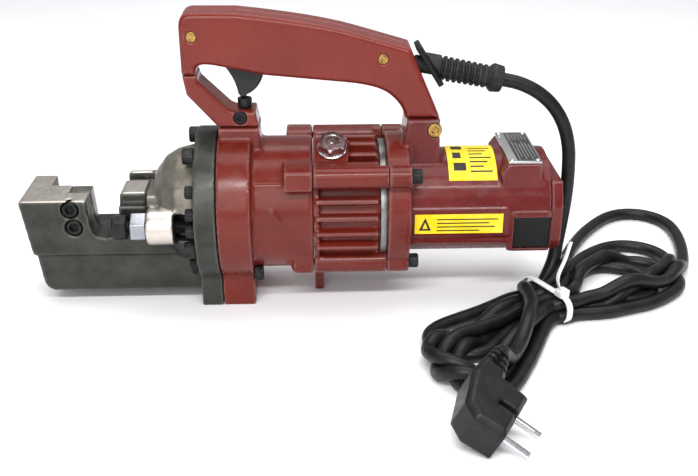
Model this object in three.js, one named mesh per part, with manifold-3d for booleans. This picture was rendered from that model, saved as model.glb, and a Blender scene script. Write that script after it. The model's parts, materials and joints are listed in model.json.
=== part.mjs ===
// A portable electro-hydraulic rebar cutter: shear head, pump case, finned housing, motor, handle and
// mains lead.
// Millimetres, +Z up. X runs from the jaws (-X) to the motor's end cover (+X). The trigger side faces down,
// the die screws face -Y. The origin is on the floor, under the middle of the machine without its lead.

import * as THREE from 'three';
import { mergeVertices } from 'three/addons/utils/BufferGeometryUtils.js';
import Module from 'manifold-3d';

const wasm = await Module();
wasm.setup();

// ---------------------------------------------------------------- driving dimensions

const GAP = 0.3;              // clearance between pieces that touch
const AXIS_Z = 72;            // height of the ram and motor axis above the floor
const SEGMENTS = 32;          // facets round a large turned surface

// stations along X
const JAW_FRONT = -196.5;
const DIE_FACE = -147;        // cutting face of the fixed die
const NOSE_FACE = -124.4;     // front of the ram's guide
const FLANGE_FRONT = -68;
const FLANGE_BACK = -52.3;    // joint between head and pump case
const CASE_FLANGE_BACK = -28;
const CASE_BACK = 16;         // joint between pump case and finned housing
const FINS_BACK = 62;
const RING_FRONT = 69.3;
const RING_BACK = 85.4;
const MOTOR_BACK = 188;
const COVER_BACK = 196.5;

// radii about the main axis
const FLANGE_R = 57;
const CASE_R = 49;
const FIN_ROOT_R = 43.5;
const FIN_TIP_R = 51.4;
const RING_R = 51.4;
const MOTOR_R = 38.7;
const FOOT_HALF_WIDTH = 31;

// shear head
const JAW_HALF_WIDTH = 27;
const KEEL_HALF_WIDTH = 24;
const JAW_TOP = 84.6;
const JAW_STEP = 41.5;
const KEEL_BOTTOM = 11;
const SHEAR_PLANE = 6.3;      // Y of the plane in which the dies pass each other
const RAM_FAR_SIDE = 20.4;
const RAM_FACE = -122;        // front of the moving die with the ram drawn back
const RAM_STROKE = 25.5;

// hydraulics
const LINER_R = 28;
const PISTON_R = 23.5;
const ROD_R = 12;
const SPRING_R = 17.6;
const PISTON_FRONT = -50;
const PISTON_BACK = -34;

// drive
const PINION_TEETH = 8;
const GEAR_TEETH = 27;
const SHAFT_DROP = 22.5;      // distance from the motor axis down to the eccentric shaft
const GEAR_MODULE = 1.27;
const MOTOR_Z = AXIS_Z + 0.5;

// handle
const HANDLE_HALF_WIDTH = 15;
const HANDLE_WALL = 3;

// mains lead
const CORD_D = 10;

// ---------------------------------------------------------------- finishes

const finish = (color, roughness, metalness) => new THREE.MeshStandardMaterial({
  color,
  roughness,
  metalness,
  flatShading: true,
});
const CAST_STEEL = finish(0x6d6a62, 0.55, 0.7);
const RED_PAINT = finish(0x8a3328, 0.35, 0.1);
const DIE_STEEL = finish(0x4f4d4b, 0.35, 0.9);
const BRIGHT_STEEL = finish(0xb8bcc0, 0.25, 1.0);
const BLACK_OXIDE = finish(0x17181a, 0.5, 0.6);
const ALUMINIUM = finish(0xa9abad, 0.45, 0.9);
const BLACK_PLASTIC = finish(0x1b1b1c, 0.55, 0.0);
const BLACK_RUBBER = finish(0x1f1f20, 0.7, 0.0);
const BRASS = finish(0xb08a3c, 0.35, 0.9);
const COPPER = finish(0xa8623a, 0.4, 0.9);
const CARBON = finish(0x2a2a2c, 0.8, 0.1);
const WHITE_NYLON = finish(0xe6e6e4, 0.5, 0.0);
const PLATE_METAL = finish(0x8f9194, 0.4, 0.8);

// ---------------------------------------------------------------- solids

// A manifold solid from a closed three.js geometry.
function solid(geometry) {
  const bare = geometry.index ? geometry.toNonIndexed() : geometry.clone();
  for (const name of Object.keys(bare.attributes)) {
    if (name !== 'position') bare.deleteAttribute(name);
  }
  const merged = mergeVertices(bare, 1e-4);
  const index = merged.index.array;
  const kept = [];
  for (let i = 0; i < index.length; i += 3) {
    const [a, b, c] = [index[i], index[i + 1], index[i + 2]];
    if (a !== b && b !== c && c !== a) kept.push(a, b, c);
  }
  return new wasm.Manifold(new wasm.Mesh({
    numProp: 3,
    vertProperties: new Float32Array(merged.attributes.position.array),
    triVerts: new Uint32Array(kept),
  }));
}

function box(x0, x1, y0, y1, z0, z1) {
  const geometry = new THREE.BoxGeometry(x1 - x0, y1 - y0, z1 - z0);
  return solid(geometry.translate((x0 + x1) / 2, (y0 + y1) / 2, (z0 + z1) / 2));
}

// A round bar along X.
function rod(x0, x1, radius, y = 0, z = AXIS_Z, segments = SEGMENTS, endRadius = radius) {
  const geometry = new THREE.CylinderGeometry(endRadius, radius, x1 - x0, segments);
  geometry.rotateZ(-Math.PI / 2).translate((x0 + x1) / 2, y, z);
  return solid(geometry);
}

// A round bar between two points.
function bar(from, to, radius, segments = 16) {
  const a = new THREE.Vector3(...from);
  const b = new THREE.Vector3(...to);
  const way = b.clone().sub(a);
  const geometry = new THREE.CylinderGeometry(radius, radius, way.length(), segments);
  const turn = new THREE.Quaternion().setFromUnitVectors(new THREE.Vector3(0, 1, 0), way.normalize());
  geometry.applyQuaternion(turn).translate((a.x + b.x) / 2, (a.y + b.y) / 2, (a.z + b.z) / 2);
  return solid(geometry);
}

// A side outline in X and Z, extruded from y0 to y1, with an optional chamfer all round both faces.
function sideProfile(shape, y0, y1, chamfer = 0, curveSegments = 6) {
  const geometry = new THREE.ExtrudeGeometry(shape, {
    depth: y1 - y0 - 2 * chamfer,
    bevelEnabled: chamfer > 0,
    bevelThickness: chamfer,
    bevelSize: chamfer,
    bevelOffset: -chamfer,
    bevelSegments: 1,
    steps: 1,
    curveSegments,
  });
  return solid(geometry.rotateX(Math.PI / 2).translate(0, y1 - chamfer, 0));
}

// A front outline in Y and Z, extruded from x0 to x1.
function frontProfile(shape, x0, x1, curveSegments = SEGMENTS / 4) {
  const geometry = new THREE.ExtrudeGeometry(shape, {
    depth: x1 - x0,
    bevelEnabled: false,
    steps: 1,
    curveSegments,
  });
  const turn = new THREE.Matrix4().set(
    0, 0, 1, 0,
    1, 0, 0, 0,
    0, 1, 0, 0,
    0, 0, 0, 1,
  );
  return solid(geometry.applyMatrix4(turn).translate(x0, 0, 0));
}

function polygon(points) {
  return new THREE.Shape(points.map(([a, b]) => new THREE.Vector2(a, b)));
}

// A body turned about an axis along X. The profile is [x, radius] and starts and ends on the axis.
function turned(profile, y = 0, z = AXIS_Z, segments = SEGMENTS) {
  const points = profile.map(([x, r]) => new THREE.Vector2(r, x));
  const geometry = new THREE.LatheGeometry(points, segments);
  return solid(geometry.rotateZ(-Math.PI / 2).translate(0, y, z));
}

// A hexagonal bar along X, with a corner on top.
function hexBar(x0, x1, acrossFlats, y, z) {
  const corner = acrossFlats / Math.sqrt(3);
  const points = [];
  for (let i = 0; i < 6; i += 1) {
    const angle = (i + 0.5) * Math.PI / 3;
    points.push([y + corner * Math.cos(angle), z + corner * Math.sin(angle)]);
  }
  return frontProfile(polygon(points), x0, x1);
}

// A socket cap screw along +X or -X: its head lies from x on the side away from the thread.
function capScrew(x, way, length, size, y, z) {
  const headR = 0.75 * size;
  const under = x - way * size;
  const tip = x + way * length;
  const head = rod(Math.min(x, under), Math.max(x, under), headR, y, z, 14);
  const shankEnds = [x - way * 0.5 * size, tip];
  const shank = rod(Math.min(...shankEnds), Math.max(...shankEnds), 0.46 * size, y, z, 10);
  const socketEnds = [under - way, under + way * 0.5 * size];
  const socket = hexBar(Math.min(...socketEnds), Math.max(...socketEnds), 0.8 * size, y, z);
  return head.add(shank).subtract(socket);
}

// The hole that a cap screw of this size needs, with its head clear.
function screwHole(x0, x1, size, y, z) {
  return rod(x0, x1, 0.46 * size + GAP, y, z, 12);
}

// Ends of the four long bolts through the finned housing, in Y and Z.
const BOLT_PLACES = [
  { name: 'upper_near', y: -45.5, z: 108 },
  { name: 'lower_near', y: -34, z: 37 },
  { name: 'upper_far', y: 45.5, z: 108 },
  { name: 'lower_far', y: 34, z: 37 },
];

const group = new THREE.Group();

function place(name, body, material) {
  const { vertProperties, triVerts } = body.getMesh();
  const geometry = new THREE.BufferGeometry();
  geometry.setAttribute('position', new THREE.BufferAttribute(new Float32Array(vertProperties), 3));
  geometry.setIndex(new THREE.BufferAttribute(new Uint32Array(triVerts), 1));
  const mesh = new THREE.Mesh(geometry, material);
  mesh.name = name;
  group.add(mesh);
  return mesh;
}

// ---------------------------------------------------------------- shear head

// The round flange with its flat foot, shared by the head and the pump case. It is drawn in Y and Z.
function flangeShape(radius, footHalfWidth) {
  const shape = new THREE.Shape();
  const rise = Math.sqrt(radius ** 2 - (footHalfWidth + 2) ** 2);
  const start = Math.atan2(-rise, footHalfWidth + 2);
  shape.moveTo(-footHalfWidth, 0);
  shape.lineTo(footHalfWidth, 0);
  shape.absarc(0, AXIS_Z, radius, start, Math.PI - start, false);
  return shape;
}

const STOPPER_Y = -37.4;
const STOPPER_Z = 68.5;
const NUT_CHANNEL_R = 11.5;
const FLANGE_SCREW_R = 51;
const FLANGE_SCREW_ANGLES = [62, 118, 200, -20];
const DIE_SCREW_PLACES = [
  { name: 'upper', x: -160, z: 77.5 },
  { name: 'lower', x: -158.3, z: 63.5 },
];

// Places on the flange's bolt circle, in Y and Z.
function onFlange(degrees) {
  const angle = THREE.MathUtils.degToRad(degrees);
  return [FLANGE_SCREW_R * Math.cos(angle), AXIS_Z + FLANGE_SCREW_R * Math.sin(angle)];
}

function upperBlockShape() {
  const shape = new THREE.Shape();
  shape.moveTo(JAW_FRONT + 6.2, JAW_STEP);
  shape.lineTo(-84, JAW_STEP);
  shape.lineTo(-84, 88);
  shape.lineTo(NOSE_FACE + 1.5, 88);
  shape.lineTo(NOSE_FACE, 86);
  shape.lineTo(NOSE_FACE - 0.8, 66);
  shape.quadraticCurveTo(-127, 56.5, -136, 55);
  shape.quadraticCurveTo(-145, 55, DIE_FACE + 1, 63);
  shape.lineTo(DIE_FACE - 1.4, JAW_TOP);
  shape.lineTo(JAW_FRONT, JAW_TOP);
  return shape;
}

function keelShape() {
  const shape = new THREE.Shape();
  shape.moveTo(JAW_FRONT + 7.5, JAW_STEP + 1);
  shape.lineTo(-186, KEEL_BOTTOM + 8);
  shape.quadraticCurveTo(-184.5, KEEL_BOTTOM, -177, KEEL_BOTTOM);
  shape.lineTo(FLANGE_FRONT + 2, KEEL_BOTTOM);
  shape.lineTo(FLANGE_FRONT + 2, JAW_STEP + 1);
  return shape;
}

// The pocket in which the fixed die sits, and the die's own outline, in X and Z.
function dieOutline(clearance) {
  const front = DIE_FACE - 16 - clearance;
  const back = clearance * 15;
  return polygon([
    [front, 54 - clearance],
    [DIE_FACE + 0.6 + back, 54 - clearance],
    [DIE_FACE - 1.4 + back, JAW_TOP - 1 + clearance * 8],
    [front, JAW_TOP - 1 + clearance * 8],
  ]);
}

function cutterHead() {
  const dome = turned([
    [-103, 0], [-102.5, 15], [-99, 26], [-92, 35.5], [-83, 41], [-70, 44], [-64, 44], [-64, 0],
  ]);
  let head = sideProfile(upperBlockShape(), -JAW_HALF_WIDTH, JAW_HALF_WIDTH)
    .add(sideProfile(keelShape(), -KEEL_HALF_WIDTH, KEEL_HALF_WIDTH))
    .add(dome)
    .add(frontProfile(flangeShape(FLANGE_R, FOOT_HALF_WIDTH), FLANGE_FRONT, FLANGE_BACK))
    .add(rod(-103, -83, 13, STOPPER_Y, STOPPER_Z, 24))
    .add(box(-102, -84, STOPPER_Y, -22, 57, 79));
  // The far side is open where the moving die runs past the fixed one.
  const wayEnd = RAM_FACE - RAM_STROKE - 31.5;
  head = head.subtract(box(wayEnd, -100.5, SHEAR_PLANE, RAM_FAR_SIDE + 1, 52, 120));
  head = head.subtract(box(wayEnd, NOSE_FACE, RAM_FAR_SIDE - 1, 40, 52, 120));
  // The nose's near wall steps in above the stopper.
  head = head.subtract(box(-130, -104, -40, -20.5, 80, 100));
  head = head.subtract(sideProfile(dieOutline(GAP), -9, SHEAR_PLANE + 1));
  head = head.subtract(rod(-130, -90, ROD_R + GAP, 0, AXIS_Z, 24));
  head = head.subtract(rod(-94.3, -50, LINER_R + GAP));
  head = head.subtract(rod(-110, -80, 5.3, STOPPER_Y, STOPPER_Z, 12));
  // A shallow channel in the head's side, in which the lock nut's corners turn.
  head = head.subtract(rod(-116, -103, NUT_CHANNEL_R, STOPPER_Y, STOPPER_Z, 32));
  head = head.subtract(box(-83, FLANGE_FRONT, -60, -31.2, 58, 79));
  for (const { x, z } of DIE_SCREW_PLACES) {
    head = head.subtract(bar([x, -40, z], [x, -20, z], 6.6, 18));
    head = head.subtract(bar([x, -22, z], [x, 0, z], 3.6, 12));
  }
  for (const degrees of FLANGE_SCREW_ANGLES) {
    head = head.subtract(screwHole(-80, -50, 8, ...onFlange(degrees)));
  }
  return head;
}

function fixedDie() {
  let die = sideProfile(dieOutline(0), -9 + GAP, SHEAR_PLANE - 0.2);
  for (const { x, z } of DIE_SCREW_PLACES) {
    die = die.subtract(bar([x, -20, z], [x, 4, z], 3.6, 12));
  }
  return die;
}

function dieScrew(x, z) {
  const head = bar([x, -26.4, z], [x, -20.3, z], 6.2, 18);
  const shank = bar([x, -21, z], [x, 3.5, z], 3.3, 12);
  const socket = bar([x, -30, z], [x, -23.4, z], 3.2, 6);
  return head.add(shank).subtract(socket);
}

function stopperBolt() {
  return hexBar(-127, -117, 17, STOPPER_Y, STOPPER_Z)
    .add(rod(-117.5, -71, 5, STOPPER_Y, STOPPER_Z, 12))
    .add(rod(-128.2, -126.5, 6.8, STOPPER_Y, STOPPER_Z, 16, 7.6));
}

function stopperNut() {
  return hexBar(-114, -103.4, 19, STOPPER_Y, STOPPER_Z)
    .subtract(rod(-120, -100, 5.3, STOPPER_Y, STOPPER_Z, 12));
}

// ---------------------------------------------------------------- ram and cylinder

function cylinderLiner() {
  return rod(-94, -30.3, LINER_R)
    .subtract(rod(-92, -20, PISTON_R + GAP))
    .subtract(rod(-100, -80, ROD_R + GAP, 0, AXIS_Z, 24));
}

function ram() {
  const groove = rod(-44.5, -41.5, PISTON_R + 2).subtract(rod(-45, -41, PISTON_R - 2.5));
  const dieSeat = box(RAM_FACE, -113.4, SHEAR_PLANE - 2, RAM_FAR_SIDE + 3, 50, 90);
  const block = box(RAM_FACE, -101, SHEAR_PLANE + GAP, RAM_FAR_SIDE, 57, 83.5).subtract(dieSeat);
  return rod(PISTON_FRONT, PISTON_BACK, PISTON_R)
    .subtract(groove)
    .add(rod(-113.4, PISTON_FRONT + 1, ROD_R, 0, AXIS_Z, 24))
    .add(block)
    .subtract(bar([-140, 13.5, 74], [-106, 13.5, 74], 3.4, 10));
}

function ramSeal() {
  return rod(-44.2, -41.8, PISTON_R - 0.1).subtract(rod(-45, -41, PISTON_R - 2.2));
}

function movingDie() {
  return box(RAM_FACE, -113.7, SHEAR_PLANE + GAP, RAM_FAR_SIDE, 57, 83.5)
    .subtract(bar([-140, 13.5, 74], [-106, 13.5, 74], 3.4, 10))
    .subtract(bar([-140, 13.5, 74], [-118.5, 13.5, 74], 5.6, 16));
}

function movingDieScrew() {
  return bar([-121.4, 13.5, 74], [-118.8, 13.5, 74], 5.2, 16)
    .add(bar([-119.5, 13.5, 74], [-107, 13.5, 74], 3.1, 10))
    .subtract(bar([-124, 13.5, 74], [-120.2, 13.5, 74], 2.4, 6));
}

class SpringCurve extends THREE.Curve {
  getPoint(t, target = new THREE.Vector3()) {
    const angle = t * 2 * Math.PI * 4;
    const x = -90 + t * 38;
    return target.set(x, SPRING_R * Math.cos(angle), AXIS_Z + SPRING_R * Math.sin(angle));
  }
}

// A tube of round section along a curve, closed at both ends.
function tube(curve, radius, sides, steps) {
  const section = new THREE.Shape();
  section.absarc(0, 0, radius, 0, Math.PI * 2, false);
  return solid(new THREE.ExtrudeGeometry(section, {
    steps,
    curveSegments: sides,
    bevelEnabled: false,
    extrudePath: curve,
  }));
}

// ---------------------------------------------------------------- pump case and finned housing

const BRACKET_SCREW_X = -32;
const FOOT_X = [15.9, 23.3];

function pumpCase() {
  const flange = flangeShape(FLANGE_R - 0.6, FOOT_HALF_WIDTH - 0.6);
  let body = frontProfile(flange, FLANGE_BACK + GAP, CASE_FLANGE_BACK)
    .add(rod(CASE_FLANGE_BACK - 1, CASE_BACK, CASE_R));
  body = body.add(box(-51, -21.5, -16, 16, 105, 134));
  for (const { y, z } of BOLT_PLACES) {
    const inward = Math.sign(y) * 12;
    const boss = rod(1, CASE_BACK, 8, y, z, 20);
    const sides = [Math.min(y, y - inward), Math.max(y, y - inward)];
    const web = box(3, CASE_BACK, ...sides, z - 7, z + 7);
    body = body.add(boss).add(web);
  }
  body = body.subtract(rod(-60, -29.7, LINER_R + GAP));
  body = body.subtract(rod(-30, CASE_BACK + 5, 40.5));
  for (const { y, z } of BOLT_PLACES) {
    body = body.subtract(screwHole(-2, CASE_BACK + 5, 7, y, z));
  }
  body = body.subtract(bar([BRACKET_SCREW_X, 0, 160], [BRACKET_SCREW_X, 0, 121], 4, 12));
  for (const degrees of FLANGE_SCREW_ANGLES) {
    body = body.subtract(screwHole(-60, -34, 8, ...onFlange(degrees)));
  }
  return body;
}

const ECCENTRIC_Z = MOTOR_Z - SHAFT_DROP;

function pumpBlock() {
  return rod(-29.4, 13, 39.8)
    .subtract(rod(-12, 20, 11, 0, ECCENTRIC_Z, 24))
    .subtract(bar([0, 0, ECCENTRIC_Z], [0, 0, 92], 4.3, 16))
    .subtract(bar([-20, 0, 84], [-20, 0, 130], 5, 12))
    .subtract(rod(-40, -20, 9, 0, AXIS_Z, 16));
}

function pumpPlunger() {
  return bar([0, 0, ECCENTRIC_Z + 10.5], [0, 0, 84], 4, 16);
}

// One toothed wheel about an axis along X; the teeth are narrow, so that they run with backlash.
function toothedWheel(teeth, x0, x1, y, z, firstAngle) {
  const pitchR = teeth * GEAR_MODULE / 2;
  const tipR = pitchR + 0.8;
  const rootR = pitchR - 1.4;
  const points = [];
  for (let i = 0; i < teeth; i += 1) {
    const middle = firstAngle + i * 2 * Math.PI / teeth;
    const rootHalf = 0.78 / rootR;
    const tipHalf = 0.4 / tipR;
    for (const [radius, angle] of [
      [rootR, middle - rootHalf],
      [tipR, middle - tipHalf],
      [tipR, middle + tipHalf],
      [rootR, middle + rootHalf],
    ]) {
      points.push([y + radius * Math.cos(angle), z + radius * Math.sin(angle)]);
    }
  }
  return frontProfile(polygon(points), x0, x1);
}

function eccentricShaft() {
  return rod(-11, 43.7, 4.5, 0, ECCENTRIC_Z, 16)
    .add(rod(-5, 5, 8, 0, ECCENTRIC_Z - 2, 24))
    .add(rod(53, 57, 4.5, 0, ECCENTRIC_Z, 16))
    .add(rod(43, 54, 3.5, 0, ECCENTRIC_Z, 6));
}

function driveGear() {
  // A gap between two teeth faces straight up, where the pinion's lowest tooth meshes.
  const first = Math.PI / 2 + Math.PI / GEAR_TEETH;
  return toothedWheel(GEAR_TEETH, 44, 52.7, 0, ECCENTRIC_Z, first)
    .subtract(rod(40, 60, 3.8, 0, ECCENTRIC_Z, 6));
}

function oilBladder() {
  return rod(18, 40, 35)
    .subtract(rod(10, 50, 26))
    .subtract(box(10, 50, -36, 36, 20, 62));
}

const PLUG_TILT = THREE.MathUtils.degToRad(24);
const PLUG_X = 30;

// A point on the oil plug's axis, at this distance from the main axis.
function onPlugAxis(distance) {
  return [PLUG_X, -distance * Math.sin(PLUG_TILT), AXIS_Z + distance * Math.cos(PLUG_TILT)];
}

function cooledRing() {
  const fin = [];
  const pitch = 360 / 26;
  const blocked = [[38, 50], [118, 146], [205, 235], [305, 335]];
  for (let i = 0; i < 26; i += 1) {
    const degrees = (i + 0.5) * pitch;
    const inBlock = blocked.some(([low, high]) => degrees > low && degrees < high);
    if (!inBlock) fin.push(degrees);
  }
  let ring = rod(CASE_BACK + GAP, RING_FRONT - 5.3, FIN_ROOT_R);
  ring = ring.add(rod(CASE_BACK + GAP, CASE_BACK + 4, CASE_R));
  for (const degrees of fin) {
    const plate = new THREE.BoxGeometry(FINS_BACK - CASE_BACK - 2, FIN_TIP_R - 38, 3.4);
    plate.translate(0, 38 + (FIN_TIP_R - 38) / 2, 0);
    plate.rotateX(THREE.MathUtils.degToRad(degrees));
    plate.translate((FINS_BACK + CASE_BACK + 2) / 2, 0, AXIS_Z);
    ring = ring.add(solid(plate));
  }
  return ring;
}

function finnedHousing() {
  let body = cooledRing();
  for (const { y, z } of BOLT_PLACES) {
    const inward = Math.sign(y) * 12;
    const rib = rod(CASE_BACK + GAP, RING_FRONT - GAP, 8, y, z, 20);
    const sides = [Math.min(y, y - inward), Math.max(y, y - inward)];
    const web = box(CASE_BACK + GAP, FINS_BACK, ...sides, z - 7, z + 7);
    body = body.add(rib).add(web);
  }
  // wing plates along the bottom, and the small foot with its gusset
  body = body.add(box(CASE_BACK + GAP, FINS_BACK, -35, 35, 31, 42));
  body = body.add(box(FOOT_X[0] + 0.6, FOOT_X[1], -7, 7, 0, 36));
  body = body.add(sideProfile(polygon([[20, 30], [20, 12], [26, 14], [36, 34]]), -3, 3));
  // the pad under the oil plug
  const pad = new THREE.BoxGeometry(25, 26, 16);
  pad.rotateX(PLUG_TILT);
  pad.translate(CASE_BACK + GAP + 12.5, -44.5 * Math.sin(PLUG_TILT), AXIS_Z + 44.5 * Math.cos(PLUG_TILT));
  body = body.add(solid(pad));
  body = body.subtract(rod(CASE_BACK - 5, RING_FRONT + 5, 40.8));
  for (const { y, z } of BOLT_PLACES) {
    body = body.subtract(screwHole(0, RING_FRONT + 5, 7, y, z));
  }
  return body.subtract(bar(onPlugAxis(30), onPlugAxis(60), 6.5, 16));
}

function oilPlug() {
  const axis = new THREE.Vector3(0, -Math.sin(PLUG_TILT), Math.cos(PLUG_TILT));
  const turn = new THREE.Quaternion().setFromUnitVectors(new THREE.Vector3(0, 1, 0), axis);
  const hexagon = new THREE.CylinderGeometry(11, 11, 7, 6).translate(0, 57.5, 0);
  const washer = new THREE.CylinderGeometry(10.8, 10.8, 1.6, 24).translate(0, 53.7, 0);
  const thread = new THREE.CylinderGeometry(6.1, 6.1, 12, 16).translate(0, 48, 0);
  return [hexagon, washer, thread]
    .map((geometry) => solid(geometry.applyQuaternion(turn).translate(PLUG_X, 0, AXIS_Z)))
    .reduce((all, piece) => all.add(piece));
}

// ---------------------------------------------------------------- motor

const BEARING_R = 11;
const SHAFT_R = 4.5;
const FAN_X = [74, 84];
const COMMUTATOR_X = [164, 182];
const BRUSH_Z = 65;
const LUG_X = [84, 108];
const LUG_TOP = 139.7;
const TERMINAL_X = [155, 180.5];
const BRUSH_POCKET_X = [161, 187.5];

function motorAdapter() {
  let ring = rod(RING_FRONT - 5, RING_FRONT - GAP, 46)
    .add(rod(56, RING_FRONT - GAP, BEARING_R + 4, 0, MOTOR_Z, 24))
    .subtract(rod(57.5, 80, BEARING_R + 0.2, 0, MOTOR_Z, 24))
    .subtract(rod(50, 60, SHAFT_R + 1, 0, MOTOR_Z, 16));
  for (const { y, z } of BOLT_PLACES) {
    ring = ring.subtract(rod(60, 75, 8.3, y, z, 20));
  }
  return ring.subtract(rod(60, 75, 6, 0, ECCENTRIC_Z, 12));
}

function ballBearing(x0, x1) {
  const bore = rod(x0 - 1, x1 + 1, SHAFT_R + GAP, 0, MOTOR_Z, 16);
  return rod(x0, x1, BEARING_R, 0, MOTOR_Z, 24).subtract(bore);
}

function motorHousing() {
  let body = rod(RING_FRONT, RING_BACK, RING_R)
    .add(rod(RING_BACK - 1, MOTOR_BACK, MOTOR_R, 0, MOTOR_Z));
  for (const { y, z } of BOLT_PLACES) {
    body = body.add(rod(RING_FRONT, RING_BACK, 8, y, z, 20));
  }
  body = body.add(box(RING_FRONT, RING_BACK, -35, 35, 31, 42));
  // the lug that carries the back of the handle
  const lug = polygon([
    [LUG_X[0] - 4, 96], [LUG_X[1] + 3, 96], [LUG_X[1] + 2, 108], [LUG_X[1], 112],
    [LUG_X[1], LUG_TOP], [LUG_X[0], LUG_TOP], [LUG_X[0] - 2, 122],
  ]);
  body = body.add(sideProfile(lug, -18, 18, 1.5));
  // the terminal box on top and a pad for each brush cover
  body = body.add(sideProfile(polygon([
    [TERMINAL_X[0], 80], [TERMINAL_X[1] + 4, 80], [TERMINAL_X[1] + 4, 96], [TERMINAL_X[1], 99],
    [TERMINAL_X[1], 111], [TERMINAL_X[0] + 1, 111], [TERMINAL_X[0] - 4, 104],
  ]), -33, 33, 1));
  for (const way of [-1, 1]) {
    const pad = [way * 20, way * 38.5];
    body = body.add(box(157, MOTOR_BACK, Math.min(...pad), Math.max(...pad), 45.5, 75.5));
  }
  body = body.subtract(rod(RING_FRONT - 5, MOTOR_BACK + 5, 34.5, 0, MOTOR_Z));
  for (const way of [-1, 1]) {
    const pocket = [way * 34.8, way * 45];
    body = body.subtract(box(...BRUSH_POCKET_X, Math.min(...pocket), Math.max(...pocket), 48.4, 72.6));
    const holder = [way * 20, way * 40];
    body = body.subtract(box(169, 177, Math.min(...holder), Math.max(...holder), BRUSH_Z - 4, BRUSH_Z + 4));
  }
  for (const { y, z } of BOLT_PLACES) {
    body = body.subtract(screwHole(RING_FRONT - 5, RING_BACK + 5, 7, y, z));
  }
  // the handle's rear screw crosses the lug
  body = body.subtract(bar([104, -25, 131.8], [104, -12, 131.8], 5.6, 16));
  return body.subtract(bar([104, -25, 131.8], [104, 12, 131.8], 2.9, 10));
}

function lugScrew() {
  return bar([104, -17.4, 131.8], [104, -12.4, 131.8], 5.2, 16)
    .add(bar([104, -13, 131.8], [104, 11, 131.8], 2.6, 10))
    .subtract(bar([104, -20, 131.8], [104, -15, 131.8], 2.8, 6));
}

function statorCore() {
  return rod(94, 142, 34.1, 0, MOTOR_Z).subtract(rod(90, 150, 22, 0, MOTOR_Z, 32));
}

function armature() {
  const first = -Math.PI / 2;
  return rod(46, 192, SHAFT_R, 0, MOTOR_Z, 16)
    .add(rod(96, 140, 21, 0, MOTOR_Z, 32))
    .add(rod(90, 146, 15, 0, MOTOR_Z, 24))
    .add(toothedWheel(PINION_TEETH, 43, 54, 0, MOTOR_Z, first));
}

function commutator() {
  return rod(...COMMUTATOR_X, 13, 0, MOTOR_Z, 24).subtract(rod(160, 190, SHAFT_R + GAP, 0, MOTOR_Z, 16));
}

function coolingFan() {
  let fan = rod(FAN_X[1] - 2, FAN_X[1], 31, 0, MOTOR_Z, 32).add(rod(...FAN_X, 9, 0, MOTOR_Z, 20));
  for (let i = 0; i < 9; i += 1) {
    const blade = new THREE.BoxGeometry(FAN_X[1] - FAN_X[0] - 2, 23, 1.6).translate(0, 18.5, 0);
    blade.rotateX(i * 2 * Math.PI / 9).translate((FAN_X[0] + FAN_X[1]) / 2, 0, MOTOR_Z);
    fan = fan.add(solid(blade));
  }
  return fan.subtract(rod(70, 90, SHAFT_R + GAP, 0, MOTOR_Z, 16));
}

function carbonBrush(way) {
  const ends = [way * 13.8, way * 33.8];
  return box(170, 176, Math.min(...ends), Math.max(...ends), BRUSH_Z - 3, BRUSH_Z + 3);
}

function brushCover(way) {
  const ends = [way * 35.1, way * 39];
  const [x0, x1] = BRUSH_POCKET_X;
  return box(x0 + GAP, x1 - GAP, Math.min(...ends), Math.max(...ends), 48.7, 72.3);
}

function endCover() {
  const shape = new THREE.Shape();
  shape.moveTo(-24, 41);
  shape.lineTo(24, 41);
  shape.quadraticCurveTo(37, 44, 38.5, 56);
  shape.lineTo(38.5, 80);
  shape.lineTo(31, 97);
  shape.lineTo(-31, 97);
  shape.lineTo(-38.5, 80);
  shape.lineTo(-38.5, 56);
  shape.quadraticCurveTo(-37, 44, -24, 41);
  return frontProfile(shape, MOTOR_BACK + GAP, COVER_BACK)
    .add(rod(MOTOR_BACK - 4, MOTOR_BACK + 1, 34.2, 0, MOTOR_Z))
    .subtract(rod(MOTOR_BACK - 6, MOTOR_BACK + 6.4, BEARING_R + 0.2, 0, MOTOR_Z, 24));
}

function terminalCover() {
  return box(TERMINAL_X[0] + 1, TERMINAL_X[1] - 0.8, -32, 32, 111.3, 113);
}

function longBolt(y, z) {
  return capScrew(RING_BACK + GAP, -1, 80, 7, y, z);
}

// ---------------------------------------------------------------- handle

const SEAM_Z = 172.6;         // where the front bracket meets the shells
const REAR_SEAM_Z = 140;
const GLAND_LOW = [106.3, 161.1];
const GLAND_HIGH = [88.9, 188.9];
const BOOT_START = [101, 174.5];
const BOOT_END = [152.6, 164.3];
const TRIGGER_PIVOT = [-48, 188];
const HANDLE_SCREWS = [
  { name: 'front', x: -66, z: 199.8 },
  { name: 'rear', x: 66.4, z: 183.3 },
];

// The shells' outline in X and Z. A positive inset gives the hollow inside.
function handleShape(inset) {
  const i = inset;
  const shape = new THREE.Shape();
  shape.moveTo(-74.4 + i, SEAM_Z + 0.2);
  shape.lineTo(-74.4 + i, 206);
  shape.quadraticCurveTo(-74 + i, 216.2 - i, -66 + i, 216.2 - i);
  shape.lineTo(-35.8, 216 - i);
  shape.quadraticCurveTo(20, 210 - i, 48, 201.6 - i);
  shape.lineTo(85.4 - i, 190.6 - i);
  shape.lineTo(107.6 - i, REAR_SEAM_Z);
  shape.lineTo(82.5 + i, REAR_SEAM_Z);
  shape.quadraticCurveTo(81.5 + i, 150, 70 + i / 2, 158.6 + i);
  shape.quadraticCurveTo(61, 164.6 + i, 39.7, 166.6 + i);
  shape.lineTo(-16, 172.2 + i);
  shape.lineTo(-48.4, 178.9 + i);
  shape.quadraticCurveTo(-64.2 + i / 3, 182.5 + i, -64.2 - i / 2, 176);
  shape.lineTo(-64.2 - i / 2, SEAM_Z + 0.2);
  return shape;
}

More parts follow.
